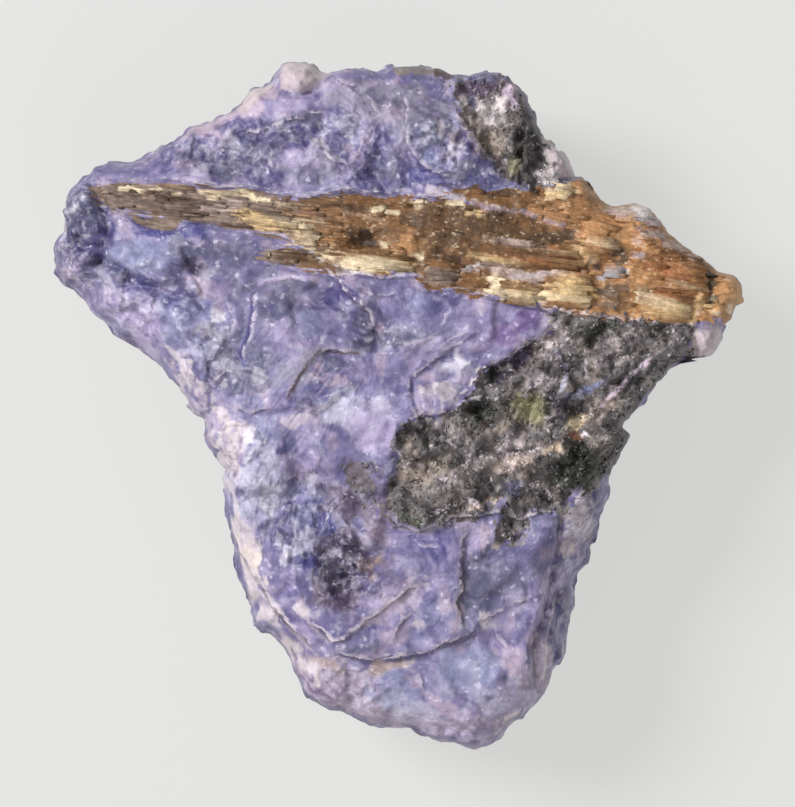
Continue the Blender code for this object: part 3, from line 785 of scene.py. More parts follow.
def make_piece(name, corners, triangles, material, **attributes):
    """Writes whole arrays into a mesh. Each attribute has one value, or one vector, for each corner."""
    mesh = bpy.data.meshes.new(name)
    mesh.vertices.add(len(corners))
    mesh.vertices.foreach_set("co", settle(corners).ravel())
    mesh.loops.add(3 * len(triangles))
    mesh.loops.foreach_set("vertex_index", triangles.ravel())
    mesh.polygons.add(len(triangles))
    mesh.polygons.foreach_set("loop_start", np.arange(0, 3 * len(triangles), 3))
    mesh.update()
    mesh.validate()
    for key, values in attributes.items():
        kind, field = ("FLOAT_VECTOR", "vector") if values.ndim == 2 else ("FLOAT", "value")
        mesh.attributes.new(key, kind, "POINT").data.foreach_set(field, values.ravel())
    mesh.materials.append(material)
    piece = in_scene(name, mesh)
    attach(piece, "root")
    print(f"{name}: {len(corners)} corners, {len(triangles)} triangles")
    return piece

# %% [markdown]
# ## Colours of the minerals
# Each mineral has a small family of colours, named here once. They are given as screen values
# from 0 to 255, which are easy to think in, and turned into the light values that a shader uses.
# A little is taken off, because the gloss of the surface adds it again.

# %% The palette
PALETTE = {
    "violet": (119, 112, 153), "deep": (76, 72, 118), "lilac": (164, 151, 188), "blue": (126, 129, 166),
    "slate": (86, 86, 112), "pink": (180, 160, 180), "white": (214, 209, 220), "cream": (212, 199, 194),
    "tan": (180, 158, 150), "dark": (56, 51, 66), "purple": (116, 90, 144), "navy": (68, 68, 128),
    "brown": (122, 88, 60), "honey": (212, 178, 130), "rust": (158, 106, 72), "straw": (224, 204, 170),
    "umber": (86, 66, 52), "fawn": (150, 122, 100), "amber": (188, 138, 94), "ash": (126, 108, 98),
    "black": (62, 59, 61), "green": (64, 68, 60), "coal": (99, 95, 97), "olive": (122, 120, 96),
    "soil": (126, 116, 110), "smoke": (134, 126, 130), "frost": (184, 177, 180), "milk": (204, 192, 198),
    "pitch": (46, 47, 44), "russet": (138, 88, 58), "seam": (178, 162, 154), "haze": (176, 175, 200),
    "rose": (172, 156, 176), "plum": (86, 72, 92), "mist": (150, 146, 164),
}
GREYED = 0.08  # the share of plain grey in every colour
GLOSS = 0.02  # what the gloss adds back


def light(name):
    """((v / 255 + 0.055) / 1.055) to the power 2.4, less the gloss's share."""
    screen = np.array(PALETTE[name]) / 255.0
    screen = (1.0 - GREYED) * screen + GREYED * screen.mean()
    return np.maximum(((screen + 0.055) / 1.055) ** 2.4 - GLOSS, 0.006)


print(len(PALETTE), "colours; violet is", light("violet").round(3))

# %% [markdown]
# ## Patches
# The violet is never one colour: it goes from slate and navy to lilac, pink and nearly white
# within a few millimetres. Listed patches give the order of it. Each is an ellipse whose
# border is pushed about by waves, so that no patch looks drawn. A later patch lies over an earlier
# one. Veins are lines with a soft width.

# %% Patches, veins, and painted shade and highlights along the edges of the charoite
# The deep and navy patches just above and just below the band, and the plum and dark ones on the hollow below
# the middle, are painted shade there, laid over the stone's own darker violet.
# Colour, strength, middle, half sizes in squares, turn in degrees from +X
PATCHES = patches(  # wide grounds that the smaller patches lie on
    """
    slate .7 235 158 62 26 12; pink .6 225 118 64 14 27; lilac .4 300 100 40 24; mist .5 308 168 44 20;
    deep .6 380 160 28 34; mist .7 425 125 34 38; slate .6 455 175 44 12; slate .7 75 225 30 50;
    deep .5 105 235 14 30; blue .6 140 262 44 22; slate .7 205 252 66 20 -8; slate .6 290 300 74 34 -8;
    violet .6 485 325 62 22 10; blue .6 190 325 64 30 -30; slate .4 260 350 34 30;
    haze .8 348 412 58 26 -12; mist .5 300 375 30 18; milk .9 222 440 20 56 14; haze .7 262 480 30 54;
    milk .9 240 565 15 62 16; slate .6 312 520 30 50; plum .8 335 572 28 40; rose .6 375 530 24 24;
    violet .5 430 560 36 36; slate .6 490 580 38 46; rose .6 395 600 40 20 30; rose .8 345 692 62 30 -20;
    haze .6 465 670 46 26; rose .8 440 728 90 20 -5; rose .6 520 690 28 40 -20; rose .5 578 535 16 46 -8;
    violet .7 262 104 50 16 20; slate .6 375 92 60 14 -8; slate .5 430 120 34 24; deep .7 300 136 34 12;
    deep .6 425 182 66 12 -4; deep .5 262 178 30 12; navy .9 160 228 58 12 -7; deep .6 96 245 34 34;
    slate .6 236 380 36 18; violet .7 405 325 76 24 -5; deep .5 345 298 34 16 -20;
    lilac .7 140 325 34 16 -40; plum .6 372 495 26 34; violet .8 385 555 34 34; plum .7 340 590 32 34;
    violet .5 490 560 50 40; violet .6 480 690 48 30; haze .6 400 706 44 14 -10; milk .9 246 548 16 34 12;
    milk .9 266 618 14 28 45; haze .7 300 505 22 26; milk .8 182 372 36 10 -45;
    lilac .6 128 322 34 10 -38; rose .6 545 650 12 36 -8; lilac .7 460 738 50 12; lilac .6 500 705 26 16;
    milk .7 302 668 20 18 -40; deep .6 305 138 28 16; slate .7 420 132 28 26; deep .6 425 98 30 12 -10;
    deep .7 425 300 34 14; slate .7 384 338 28 20; plum .8 345 580 38 46; plum .5 384 575 20 26;
    """
)
PATCHES += patches(  # from the top to the bottom
    """
    pink .8 215 122 45 9 25; pink .7 262 104 30 12 30; lilac .7 335 88 28 9 -30; slate .8 300 127 30 7 15;
    slate .6 345 118 10 22 10; lilac .6 352 105 20 14 -40; deep .7 255 133 25 10 10;
    deep .6 225 150 30 14 10; slate .7 235 165 30 16; lilac .5 200 176 20 6 -10;
    lilac .7 298 165 24 16 -40; slate .6 310 180 8 8; white .5 325 152 26 3 -30;
    lilac .9 369 135 6 20 -18; lilac .8 352 165 20 6 55; deep .8 362 180 12 9 60;
    slate .8 384 170 13 20 -20; deep .6 388 190 14 5; soil .9 412 69 34 7 -2; umber .8 440 71 15 5 -12;
    rose .6 440 84 18 7 -30; slate .7 430 85 25 6 -25; blue .8 425 140 14 26 10; milk .6 437 130 6 6;
    white .9 455 152 14 6 15; blue .6 440 165 25 7 -15; slate .6 90 225 16 18; pink .5 65 275 14 6 -40;
    milk .5 56 240 5 10 20; deep .6 100 175 14 9 -30; lilac .4 140 170 22 8 10; blue .7 140 255 24 16;
    lilac .6 205 246 12 6 -20; dark .7 195 272 10 9; pink .6 203 290 10 12 -60; dark .6 210 290 4 14;
    lilac .4 220 290 16 14; milk .8 213 333 12 14 -20; white .6 220 315 10 5 -30;
    navy .4 160 300 26 14 -20; lilac .5 290 335 30 18; blue .5 310 325 24 14; slate .8 350 315 16 16 -40;
    dark .5 365 325 14 14; dark .5 375 345 22 8 -10; pink .6 380 330 9 6; white .5 342 310 5 5;
    blue .5 415 305 16 10; purple .6 510 330 36 14 15; navy .5 490 315 20 10; lilac .6 430 355 36 10 25;
    white .7 462 365 18 12 20; slate .7 475 368 10 12; milk .7 440 390 16 10; lilac .7 425 402 11 9;
    pink .7 325 372 16 9 -20; slate .6 340 362 22 8; navy .6 315 392 16 9 10; lilac .7 370 425 34 22 -10;
    lilac .6 380 440 24 10; blue .4 250 350 14 22 10; white .7 257 377 9 4 -25; white .7 231 384 7 4 25;
    milk .8 240 432 18 16 -40; lilac .7 215 425 10 18 30; white .8 250 445 10 8; slate .6 262 440 5 7;
    deep .5 258 455 10 3 45; white .7 268 505 9 8; white .7 277 490 7 7; deep .6 300 450 24 14 -10;
    dark .6 305 475 9 6 -20; navy .5 300 490 20 8; navy .7 325 520 12 18; navy .8 315 560 14 12;
    white .7 285 555 5 8; lilac .6 285 580 14 14; navy .6 290 590 5 5; dark .7 358 490 16 30;
    umber .7 345 475 6 16; soil .4 357 474 12 16; plum .8 350 545 24 24; fawn .5 375 560 18 10;
    pink .7 380 530 10 10; white .5 352 555 10 6; milk .8 303 606 6 11 20; milk .6 315 614 8 4 -30;
    lilac .6 375 600 18 10 30; pink .6 400 585 28 9 35; navy .6 430 550 26 16 -20; lilac .6 470 540 8 20;
    pink .7 482 537 14 14; lilac .6 305 630 18 12 -30; slate .6 365 645 24 9; deep .8 375 628 12 9 20;
    cream .9 250 565 36 8 -62; milk .6 230 502 7 28; milk .6 422 625 6 6; pink .6 452 615 10 14;
    slate .7 490 580 26 32; slate .6 475 605 14 18; lilac .5 520 600 16 10; deep .6 520 635 16 12;
    milk .7 486 622 8 5 20; blue .8 470 668 42 22 -5; slate .5 480 695 26 12; pink .5 512 660 12 18;
    pink .5 440 700 16 10; blue .7 390 690 30 16; purple .6 335 695 22 10; tan .8 395 668 24 7 5;
    tan .7 325 662 18 9 -20; milk .7 305 675 14 22 -35; cream .8 510 722 10 8; milk .9 578 512 11 26 -12;
    white .6 575 530 14 5; deep .7 575 600 5 22 -5; navy .7 563 610 5 18 -10;
    """
)
PATCHES += patches(  # wide shades that lie over the smaller patches
    """
    slate .35 420 135 26 24; deep .6 445 182 52 13; deep .35 338 300 28 20; slate .35 222 345 28 24;
    slate .3 235 378 44 18; slate .3 425 342 40 16 20; slate .25 455 388 16 12; lilac .5 300 430 28 16;
    lilac .5 300 462 24 14; deep .35 500 545 20 18; lilac .6 545 585 12 26; deep .45 385 582 28 14 20;
    lilac .4 545 625 10 20; deep .5 340 622 28 16; plum .5 340 505 26 18; dark .75 341 566 25 40;
    navy .5 300 515 20 26 10; haze .5 298 548 18 14; mist .5 372 98 66 16; milk .5 455 138 14 14;
    milk .6 424 408 14 7 15; slate .3 105 265 30 14; plum .2 395 110 64 26 -8;
    slate .35 385 102 30 10 -10; deep .5 440 184 48 11 -3; deep .4 262 180 26 11;
    slate .4 212 342 34 14 -25; lilac .4 302 300 14 12; deep .45 342 305 18 14; milk .4 302 424 22 9;
    haze .5 300 540 16 26; haze .4 286 500 24 16; plum .4 342 508 20 22; lilac .5 545 588 14 26;
    rose .4 542 652 12 24; cream .5 566 548 8 9; pink .6 569 588 7 20 -8; slate .4 385 100 34 14 -10;
    slate .4 418 138 26 22; lilac .4 462 104 12 10; deep .5 336 302 20 18; haze .4 505 700 22 14;
    lilac .4 500 312 20 8; deep .5 262 180 28 12; navy .6 440 180 46 12; slate .3 240 350 40 30;
    slate .35 400 340 50 14 10; slate .4 458 384 16 14; dark .4 340 560 24 34; deep .4 500 542 20 14;
    navy .5 165 232 40 8 -8;
    """
)
# Many of these lines run along ledges and grooves. There the navy, deep and dark ones are painted shade in
# the cracks and just below the plates' edges, and the lilac, milk and white ones are painted highlight on the
# edges, partly the paler colour of chipped edges. The umber lines are cracks in their own brown.
# Colour, strength, half width in squares, line
VEIN_SHADE_AND_HIGHLIGHT_LINES = lines(
    """
    lilac .7 2: 320,195 345,182 362,168; lilac .8 2.5: 262,286 290,279 310,280;
    lilac .8 2.5: 400,350 422,343 440,338; milk .5 2: 394,520 400,529 420,531 440,525 460,519;
    milk .45 2: 300,612 328,640 345,637 362,624 398,597 413,585 430,582;
    milk .5 2: 268,600 285,620 300,637 318,655; umber .6 1.5: 275,612 295,632;
    umber .8 1.2: 287,400 293,392 299,381 307,366 314,358 321,353 348,352 360,354;
    navy .8 2.5: 258,292 254,315 252,330 243,352 246,367;
    deep .7 2: 100,262 122,268 143,288 188,291 206,312; deep .7 2: 412,380 413,400 420,415;
    deep .6 2: 415,378 440,360 463,343 475,335; umber .6 1.2: 462,540 464,590 457,603 465,628;
    dark .7 2: 490,543 486,552 480,560 470,565; dark .6 1.8: 560,515 552,575 547,602 534,650 533,690;
    navy .6 2.5: 572,560 566,600 560,640 556,665; milk .7 1.5: 556,600 548,640 542,680;
    dark .6 1.5: 395,661 425,656 445,646 475,634; deep .7 2: 210,392 211,410 205,418;
    navy .8 3: 275,545 279,520 287,505 300,502 320,500; milk .7 4: 430,193 470,203 530,217 545,221;
    deep .8 3: 92,186 103,205 110,232 106,254 100,262; white .6 2: 60,226 75,214 84,200;
    white .5 2: 64,250 78,240 92,236; lilac .7 2: 70,275 84,262 90,250;
    """
)

# %% Colours along the band
# The pitch patch on the pit near the band's middle is painted shade in that hole.
BAND_ZONES = patches(
    """
    umber .7 150 197 45 4 -6; straw .7 150 191 16 3 -6; fawn .8 190 188 60 5 -7; umber .8 178 204 24 6 -9;
    straw .7 240 200 44 4 -8; umber .7 190 214 16 4 -10; tan .6 222 210 26 5 -9;
    honey .8 262 223 36 7 -12; umber .8 243 229 20 3 -6; umber .9 290 260 30 9 -8; straw .9 272 258 4 4;
    amber .3 302 216 16 9; straw .6 308 243 18 12 -25; straw .7 296 224 28 7 -12;
    honey .5 296 230 14 6 -15; amber .35 330 234 9 20; umber .8 362 214 20 8 -5; straw .9 379 213 8 7;
    umber 1 364 242 17 12; fawn .7 362 222 22 3 -8; straw .8 368 265 50 9 -4; white .5 355 275 24 3 -10;
    honey .9 400 262 18 9; amber 1 410 243 15 12; straw .9 384 247 4 7; straw .7 422 262 4 8 50;
    umber .6 470 228 90 26 -3; umber 1 448 256 20 9; straw .7 425 205 12 4 -10; straw .6 458 209 16 3 5;
    honey .8 478 216 12 5; ash .9 442 278 24 10 -4; frost .7 474 270 16 6; straw .9 493 287 7 12;
    honey 1 485 259 18 8 -4; tan .7 520 246 30 5; tan .9 530 278 50 7 -3; honey .9 548 298 52 10 -6;
    honey 1 572 294 22 13; straw .4 545 300 50 9 -6; umber .7 500 224 26 12; umber .3 530 256 44 12;
    straw 1 560 194 17 9; amber .9 585 198 10 12; umber .9 548 240 26 12; amber .9 598 239 22 11 -4;
    straw .45 604 247 16 6; dark .7 592 267 7 6; umber 1 616 260 10 9; frost 1 612 275 16 5;
    amber .7 634 240 20 14 -15; milk .5 636 257 11 4; rust .9 642 272 14 13; russet 1 676 270 36 18 -25;
    amber .6 695 275 18 14 -25; straw .7 680 289 24 2.5 -4; tan .9 632 214 30 10 -5;
    white .7 646 219 16 7 -32; tan .8 656 238 20 11 -35; umber .6 668 258 14 6 -30;
    tan .7 690 252 26 5 -32; honey 1 664 312 34 13 -6; straw .25 670 308 26 6 -6; straw .9 640 297 11 8;
    ash .9 612 300 16 18; russet .7 672 298 36 7 -5; brown .7 622 300 16 14; honey .6 580 258 14 14;
    green 1 711 286 4 18; amber 1 730 288 15 17; honey .5 736 296 8 8; straw .8 718 309 16 4;
    lilac .9 718 319 17 4; rust 1 551 262 34 8 -2; rust .6 670 274 26 13 -25; amber .8 731 290 12 13;
    cream .7 637 214 14 7 -10; tan .7 667 243 16 8 -35; pitch .35 364 243 13 9; umber .5 508 256 20 12;
    honey .7 560 195 14 6; fawn .5 300 242 24 8 -14; umber .8 490 192 50 5; amber .4 545 215 24 10;
    straw .5 495 292 14 10; honey .6 705 302 14 10; umber .5 618 258 14 10; brown .5 660 262 20 10;
    rust .6 658 298 22 6; umber .4 160 214 30 8 -8;
    """
)
# The pitch line lies in the cleft before the band's round end and is painted shade in it. The umber lines are
# cracks between blocks: their own brown, with painted shade in them.
BAND_VEINS_AND_CRACK_SHADE = lines(
    """
    rose .45 2.4: 430,194 470,204 530,217 562,227; milk .4 2: 505,280 540,276 580,281;
    pitch .9 2: 708,270 712,288 709,306; umber .9 1.6: 586,268 587,290 588,312;
    umber .8 1.6: 616,286 618,300 616,314; umber .8 1.6: 505,290 506,302;
    """
)

# %% Colours in the dark masses
MASS_ZONES = patches(
    """
    dark 1 510 366 38 15 35; pitch .8 498 374 22 8 30; black .9 472 394 20 9 30;
    smoke .9 557 345 10 26 10; smoke .9 540 384 14 22 45; green .9 602 335 36 13 -3;
    smoke .7 618 360 26 10 20; black .8 570 362 16 12; blue .9 588 388 20 6 25; haze .6 574 397 12 5 10;
    olive 1 528 408 21 17; dark .6 560 405 10 16; straw .6 578 424 12 8 20; soil .8 604 412 26 11 35;
    black .9 640 345 34 9 30; green 1 572 470 32 28 20; pitch .7 574 466 26 22 20;
    pitch .8 612 340 30 12 10; black .8 540 470 18 22; black .9 545 500 26 12; smoke .9 516 448 22 14;
    seam .8 502 468 12 6 15; seam .9 553 447 16 6 10; straw .4 552 448 12 4 10; soil .7 500 424 16 6 50;
    green .9 480 412 20 14 30; black .9 424 434 22 12; smoke .9 450 432 10 10; soil .8 408 446 10 14;
    black .9 452 462 16 9 35; smoke .7 470 450 5 16 -30; soil 1 418 474 34 9 15; smoke .5 440 484 26 4 25;
    seam .8 484 503 22 4 12; soil .8 456 512 14 5 15; green .9 412 521 17 6; black 1 507 524 9 26;
    slate .8 512 488 16 10; black .9 614 455 14 26 -25; white 1 583 435 5 3; rust .4 574 436 9 4;
    plum .9 474 92 22 18; slate .9 482 80 24 7 5; rose .8 508 92 12 18 30; slate .7 472 103 9 10;
    frost 1 494 112 17 18; soil .8 492 146 14 18; black 1 526 158 19 32 15; olive .7 515 167 9 9;
    slate .6 556 181 14 8; smoke .9 512 454 20 14; frost .6 506 466 10 7; frost .6 545 340 12 18;
    pitch .5 624 386 24 13 35; seam .6 512 462 22 12 10; smoke .5 620 345 24 18; pitch .5 470 405 16 9 35;
    frost .6 424 420 14 9; frost .8 548 178 14 10; black .4 440 500 34 14 20; black .4 540 500 20 10;
    """
)
MASS_VEINS = lines(
    """
    rose .7 2: 648,362 630,376 612,396 598,410; haze .6 2: 556,352 566,372 560,392;
    pitch .8 3: 420,418 428,430 424,446;
    """
)
# Pale seams of feldspar between the clots, and last five fine white veins in the charoite:
# strength, half width in millimetres, line
SEAMS = lines(
    """
    1.3 .36: 385,488 397,468 410,459 430,473 446,480 465,464 472,446 481,434;
    1.6 .4: 493,477 508,468 503,452 509,440 507,428;
    1.6 .36: 426,515 446,506 464,498 484,505 503,500 506,512; 1 .3: 448,412 459,402 470,397 488,398;
    1.5 .34: 520,402 528,391 540,380 546,366 543,352; .8 .28: 392,441 398,455 388,462;
    1.2 .34: 474,452 490,458 506,455 530,450 556,444; .9 .24: 584,356 585,380;
    .7 .26: 634,392 618,412 604,440 596,452; .8 .28: 512,488 532,486 548,494 560,508;
    .7 .26: 430,446 440,440 452,444 458,452; .9 .24: 428,705 445,722 463,741 472,747;
    .7 .22: 455,729 478,729; .6 .22: 443,722 462,748; .5 .22: 310,150 330,157 348,165 345,172 330,190;
    .7 .24: 480,507 503,500 506,505 500,520;
    """
)

# %% [markdown]
# ## Painting the body
# The colour of a corner is found in layers, as a painter would do it: a ground that wanders
# between violets, then the patches, the lines of veins and of painted shade and highlight along the
# edges, and the fibres. Each corner gets three colours, one for each mineral, and it knows how deep
# inside the band, a mass or a quartz lump it lies. The finish chooses between them, so that a border
# can be finer than the mesh. Patches fade down the sides, and there and on the back the wandering
# ground alone shows, with the same band and masses running through the stone.

# %% How a patch and a vein are laid over a ground
def laid_over(ground, share, name):
    """ground + share x (colour - ground)."""
    return ground + share[:, None] * (light(name) - ground)


def ragged(x, y, z):
    """Two fine waves that eat into every border."""
    return 0.6 * waves(x, y, z + 90.0, 1.25) + 0.45 * waves(x, y, z + 90.0, 0.65)


def patch_share(x, y, push, rag, place, half_sizes, degrees):
    """The turned offset over the half sizes, as a length; 1 where it plus the ragged waves is small.
    Small patches take less of the push, so that they stay whole."""
    place_x, place_y = on_stone(place)
    half_x, half_y = np.array(half_sizes) * SQUARE
    at_x, at_y = nudged(x, y, push, min(1.0, 0.7 * math.sqrt(half_x * half_y)))
    across, up = turned(at_x - place_x, at_y - place_y, math.radians(degrees))
    return smooth_step(1.05 - np.hypot(across / half_x, up / half_y) + 0.45 * rag, 0.0, 0.5)


def zoned(ground, zones, share, x, y, push, rag):
    """Every patch of a table laid over the ground in turn."""
    for name, strength, place, half_sizes, degrees in zones:
        covered = share * strength**0.7 * patch_share(x, y, push, rag, place, half_sizes, degrees)
        ground = laid_over(ground, covered, name)
    return ground


def laid_veins_and_edge_shading(ground, veins, share, x, y, rag, fray=0.9):
    """Every line of a table, veins and painted edge shade and highlights alike, laid over the ground:
    full on its line, and gone at 1.3 half widths from it.
    """
    for name, strength, half_width, line in veins:
        away = to_line(x, y, line)[0] / (half_width * SQUARE)
        ground = laid_over(ground, share * strength * smooth_step(1.3 - away + fray * rag, 0.0, 0.7), name)
    return ground


def waved(ground, name, most, wave, low, high):
    """A colour laid over the ground where a wave is high."""
    return laid_over(ground, most * smooth_step(wave, low, high), name)


# %% The colours of each mineral
VIOLET_TINT = np.array([0.99, 0.975, 0.94])  # a little less blue than the palette
MASS_TINT = np.array([1.05, 1.01, 0.98])


def violet_ground(x, y, z):
    """Violet, shifted to blue, lilac, deep violet and pink by waves of several sizes."""
    ground = np.tile(light("violet"), (len(x), 1))
    ground = waved(ground, "blue", 0.5, waves(x, y, z, 7.0), -0.1, 0.5)
    ground = waved(ground, "lilac", 0.5, waves(x + 9.0, y, z, 4.6), 0.1, 0.6)
    ground = waved(ground, "deep", 0.6, waves(x, y + 17.0, z, 3.7), 0.1, 0.6)
    ground = waved(ground, "pink", 0.5, waves(x, y - 8.0, z, 2.1), 0.25, 0.6)
    return waved(ground, "deep", 0.5, waves(x + 4.0, y - 8.0, z, 1.5), 0.3, 0.6)


def violet_colours(x, y, z, front, push, rag):
    """Ground, patches, the lines of veins and of painted shade and highlight along the edges, and
    fibres of the charoite. A patch is looked up at the middle of the chip that the place belongs to,
    so that its border runs along chips."""
    wide_x, wide_y = snapped(*nudged(x, y, push, 0.4), 2.6, 0.5)
    ground = zoned(violet_ground(x, y, z), PATCHES, front, *snapped(wide_x, wide_y, 1.0, 0.5), push, rag)
    ground = laid_veins_and_edge_shading(ground, VEIN_SHADE_AND_HIGHLIGHT_LINES, front, *nudged(x, y, push, LITTLE), rag)
    streaks = 0.6 * read_fibres(long_fibres, x, y) + 0.4 * read_fibres(fine_fibres, x, y)
    ground = waved(ground, "lilac", 0.22, streaks, 0.4, 1.8)
    ground = waved(ground, "deep", 0.20, -streaks, 0.4, 1.8)
    ground = waved(ground, "lilac", 0.35, rag, 0.25, 0.7)
    return waved(ground, "deep", 0.40, -rag, 0.25, 0.7) * VIOLET_TINT


def band_colours(x, y, push, rag):
    """Ashy on the left, warming to brown and then to amber, with the band's zones laid over it."""
    ground = waved(np.tile(light("ash"), (len(x), 1)), "brown", 1.0, x, -20.0, -6.0)
    return zoned(waved(ground, "amber", 0.7, x, 16.0, 30.0), BAND_ZONES, 1.0, x, y, push, rag)


def mass_colours(x, y, push, rag):
    """Coal with soil and black, with the masses' zones and veins laid over it."""
    ground = waved(np.tile(light("coal"), (len(x), 1)), "soil", 0.5, waves(x, y, 11.0, 1.8), 0.0, 0.5)
    ground = waved(ground, "black", 0.5, waves(x, y, 12.0, 2.4), 0.1, 0.5)
    ground = zoned(ground, MASS_ZONES, 1.0, x, y, push, rag)
    return laid_veins_and_edge_shading(ground, MASS_VEINS, 1.0, *nudged(x, y, push, 0.3), rag, 0.5)


# %% How deep inside a mineral, and how near a broken edge
def depth_in(x, y, shape):
    """How deep inside a closed shape a place is, in millimetres; outside it is below zero."""
    away = to_line(x, y, shape + shape[:1])[0]
    return np.clip(np.where(inside(x, y, shape, 0.001) > 0.5, away, -away), -3.0, 3.0)


def nearest_break(x, y):
    """For the nearest broken edge: the distance (+ on the plate), how strong the painted shade of its
    line is and how pale its lip, a painted highlight that is partly the chipped edge's paler colour.
    A groove gets painted shade only. A seam is pale only, its own feldspar colour, to its half width
    on both sides. Half-way between two edges both fade, so that the side does not flip in plain sight."""
    nearest, second = np.full(x.shape, 9.0), np.full(x.shape, 9.0)
    signed, dark, pale = np.full(x.shape, -1.5), np.zeros(x.shape), np.zeros(x.shape)
    edges = [("lip", *one) for one in LEDGES + FLAKES]
    edges += [("groove", *one) for one in GROOVES] + [("seam", *one) for one in SEAMS]
    for kind, strength, half_width, line in edges:
        away, side, walked = to_line(x, y, line)
        ends = smooth_step(walked, 0.0, 0.15) * smooth_step(1.0 - walked, 0.0, 0.15)
        held = min(1.0, 0.15 + 0.55 * strength) * ends
        closer = away < nearest
        signed = np.where(closer, half_width - away if kind == "seam" else side * away, signed)
        # dark: the strength of the painted shade line. pale: a lip's painted highlight, and a seam's own pale
        # colour.
        dark = np.where(closer, held * (kind != "seam"), dark)
        pale = np.where(closer, held * (kind != "groove"), pale)
        second = np.where(closer, nearest, np.minimum(away, second))
        nearest = np.minimum(away, nearest)
    near = (1.0 - smooth_step(nearest, 0.7, 1.1)) * smooth_step(second - nearest, 0.1, 0.5)
    return np.column_stack((np.clip(signed, -1.5, 1.5), near * dark, near * pale))


# %% The body's corners, painted
FRONT_TO, SIDE_FROM = 5.0, 10.0  # the patches fade between these depths below the face
raw_x, raw_y, raw_z = raw_corners.T
raw_rag = ragged(raw_x, raw_y, raw_z)
below = np.maximum(show_face(raw_x, raw_y) - raw_z, 0.0)
raw_front = 1.0 - smooth_step(below, FRONT_TO, SIDE_FROM)
# On the sides the places wander more the lower they are, so that nothing hangs down as a streak
wander = 0.9 * np.clip(below - 2.0, 0.0, 12.0)
raw_push = tuple(
    one + wander * waves(raw_x, raw_y, raw_z + shift, 4.2)
    for one, shift in zip(wandering(raw_x, raw_y, 0.0), (0.0, 25.0))
)
near_x, near_y = nudged(raw_x, raw_y, raw_push, LITTLE)
stone_violet = violet_colours(raw_x, raw_y, raw_z, raw_front, raw_push, raw_rag)

# The band takes its colours block by block, and each block is a little lighter or darker
block_x, block_y, block_tone = blocks(raw_x, raw_y)
block_x, block_y = near_x + 0.75 * (block_x - raw_x), near_y + 0.75 * (block_y - raw_y)
stone_band = band_colours(block_x, block_y, raw_push, raw_rag) * np.exp(0.07 * block_tone)[:, None]
stone_band = laid_veins_and_edge_shading(stone_band, BAND_VEINS_AND_CRACK_SHADE, 1.0, near_x, near_y, raw_rag, 1.5)

# The masses take theirs half-way to the middle of each small chip
chip_x, chip_y = snapped(near_x, near_y, 1.1, 0.6)
chip_x, chip_y = raw_x + 0.5 * (chip_x - near_x), raw_y + 0.5 * (chip_y - near_y)
stone_mass = mass_colours(chip_x, chip_y, raw_push, raw_rag) * MASS_TINT

mass_x, mass_y = nudged(raw_x, raw_y, raw_push, MUCH)
in_quartz = np.max([depth_in(near_x, near_y, lump) for lump in QUARTZ], axis=0)
stone_depths = np.column_stack((
    depth_in(near_x, near_y, BAND),
    np.max([depth_in(mass_x, mass_y, mass) for mass in MASSES], axis=0),
    in_quartz - 3.0 * smooth_step(below, 6.0, 11.0),  # the lumps end a little below the rim
))
# The painted shade and highlights of the broken edges, faded down the sides like the patches
stone_breaks = nearest_break(near_x, near_y)
stone_breaks[:, 1:] *= raw_front[:, None]
stone_hackly = np.maximum(hackly(raw_x, raw_y), 0.75 * smooth_step(below, 4.0, 10.0))
print("mean violet of the body", stone_violet.mean(0).round(3))

# %% [markdown]
# ## The finishes
# Shader nodes add what is finer than the mesh. A finish is a formula that is worked out for each
# point of the surface, so the small functions below only place the nodes of one term each, in the
# tree of the finish that is being made. Chips come from cells, each with a chance value, and the
# grain between them from noise. Both are looked up by place on the stone in millimetres, so they
# are part of the rock and run through it.

# %% Small functions that place shader nodes
def new_finish(name):
    """A new material, its node tree and its shader."""
    material = bpy.data.materials.new(name)
    material.use_nodes = True
    return material, material.node_tree, material.node_tree.nodes["Principled BSDF"]


def fill(node, **sockets):
    """Fills a node's sockets with values or with links. A socket is given by its name, with _ for
    each space, or by the letter i and its number."""
    for key, value in sockets.items():
        socket = node.inputs[int(key[1:]) if key[1:].isdigit() else key.replace("_", " ")]
        if isinstance(value, bpy.types.NodeSocket):
            tree.links.new(value, socket)
        else:
            socket.default_value = value


def put(kind, settings=None, **sockets):
    """Adds a node, sets its options and fills its sockets."""
    node = tree.nodes.new("ShaderNode" + kind)
    for option, value in (settings or {}).items():
        setattr(node, option, value)
    fill(node, **sockets)
    return node


def read(name, output="Vector"):
    """What an attribute of the mesh holds: a vector, or with the output Fac one value."""
    return put("Attribute", {"attribute_name": name}).outputs[output]


def parts_of(vector):
    """The three numbers of a vector."""
    return put("SeparateXYZ", None, Vector=vector).outputs


def reckon(operation, first, second=0.0, third=0.0):
    """One sum with values. MULTIPLY_ADD gives first x second + third."""
    return put("Math", {"operation": operation}, i0=first, i1=second, i2=third).outputs[0]


def all_of(*values):
    """The product of several values."""
    total = values[0]
    for value in values[1:]:
        total = reckon("MULTIPLY", total, value)
    return total


def centred(value, factor, added):
    """factor x (value - 0.5) + added: a value that varies about a half, put to use about another."""
    return reckon("MULTIPLY_ADD", reckon("SUBTRACT", value, 0.5), factor, added)


def between(share, first, second):
    """Two values, mixed by a share: first + share x (second - first)."""
    return reckon("MULTIPLY_ADD", share, reckon("SUBTRACT", second, first), first)


def ramp(value, low, high, to_low=0.0, to_high=1.0):
    """A value brought from low..high to to_low..to_high, and held there."""
    return put("MapRange", None, Value=value, i1=low, i2=high, i3=to_low, i4=to_high).outputs[0]


def mixed(share, first, second):
    """Two colours, mixed by a share."""
    return put("Mix", {"data_type": "RGBA"}, i0=share, i6=first, i7=second).outputs[2]


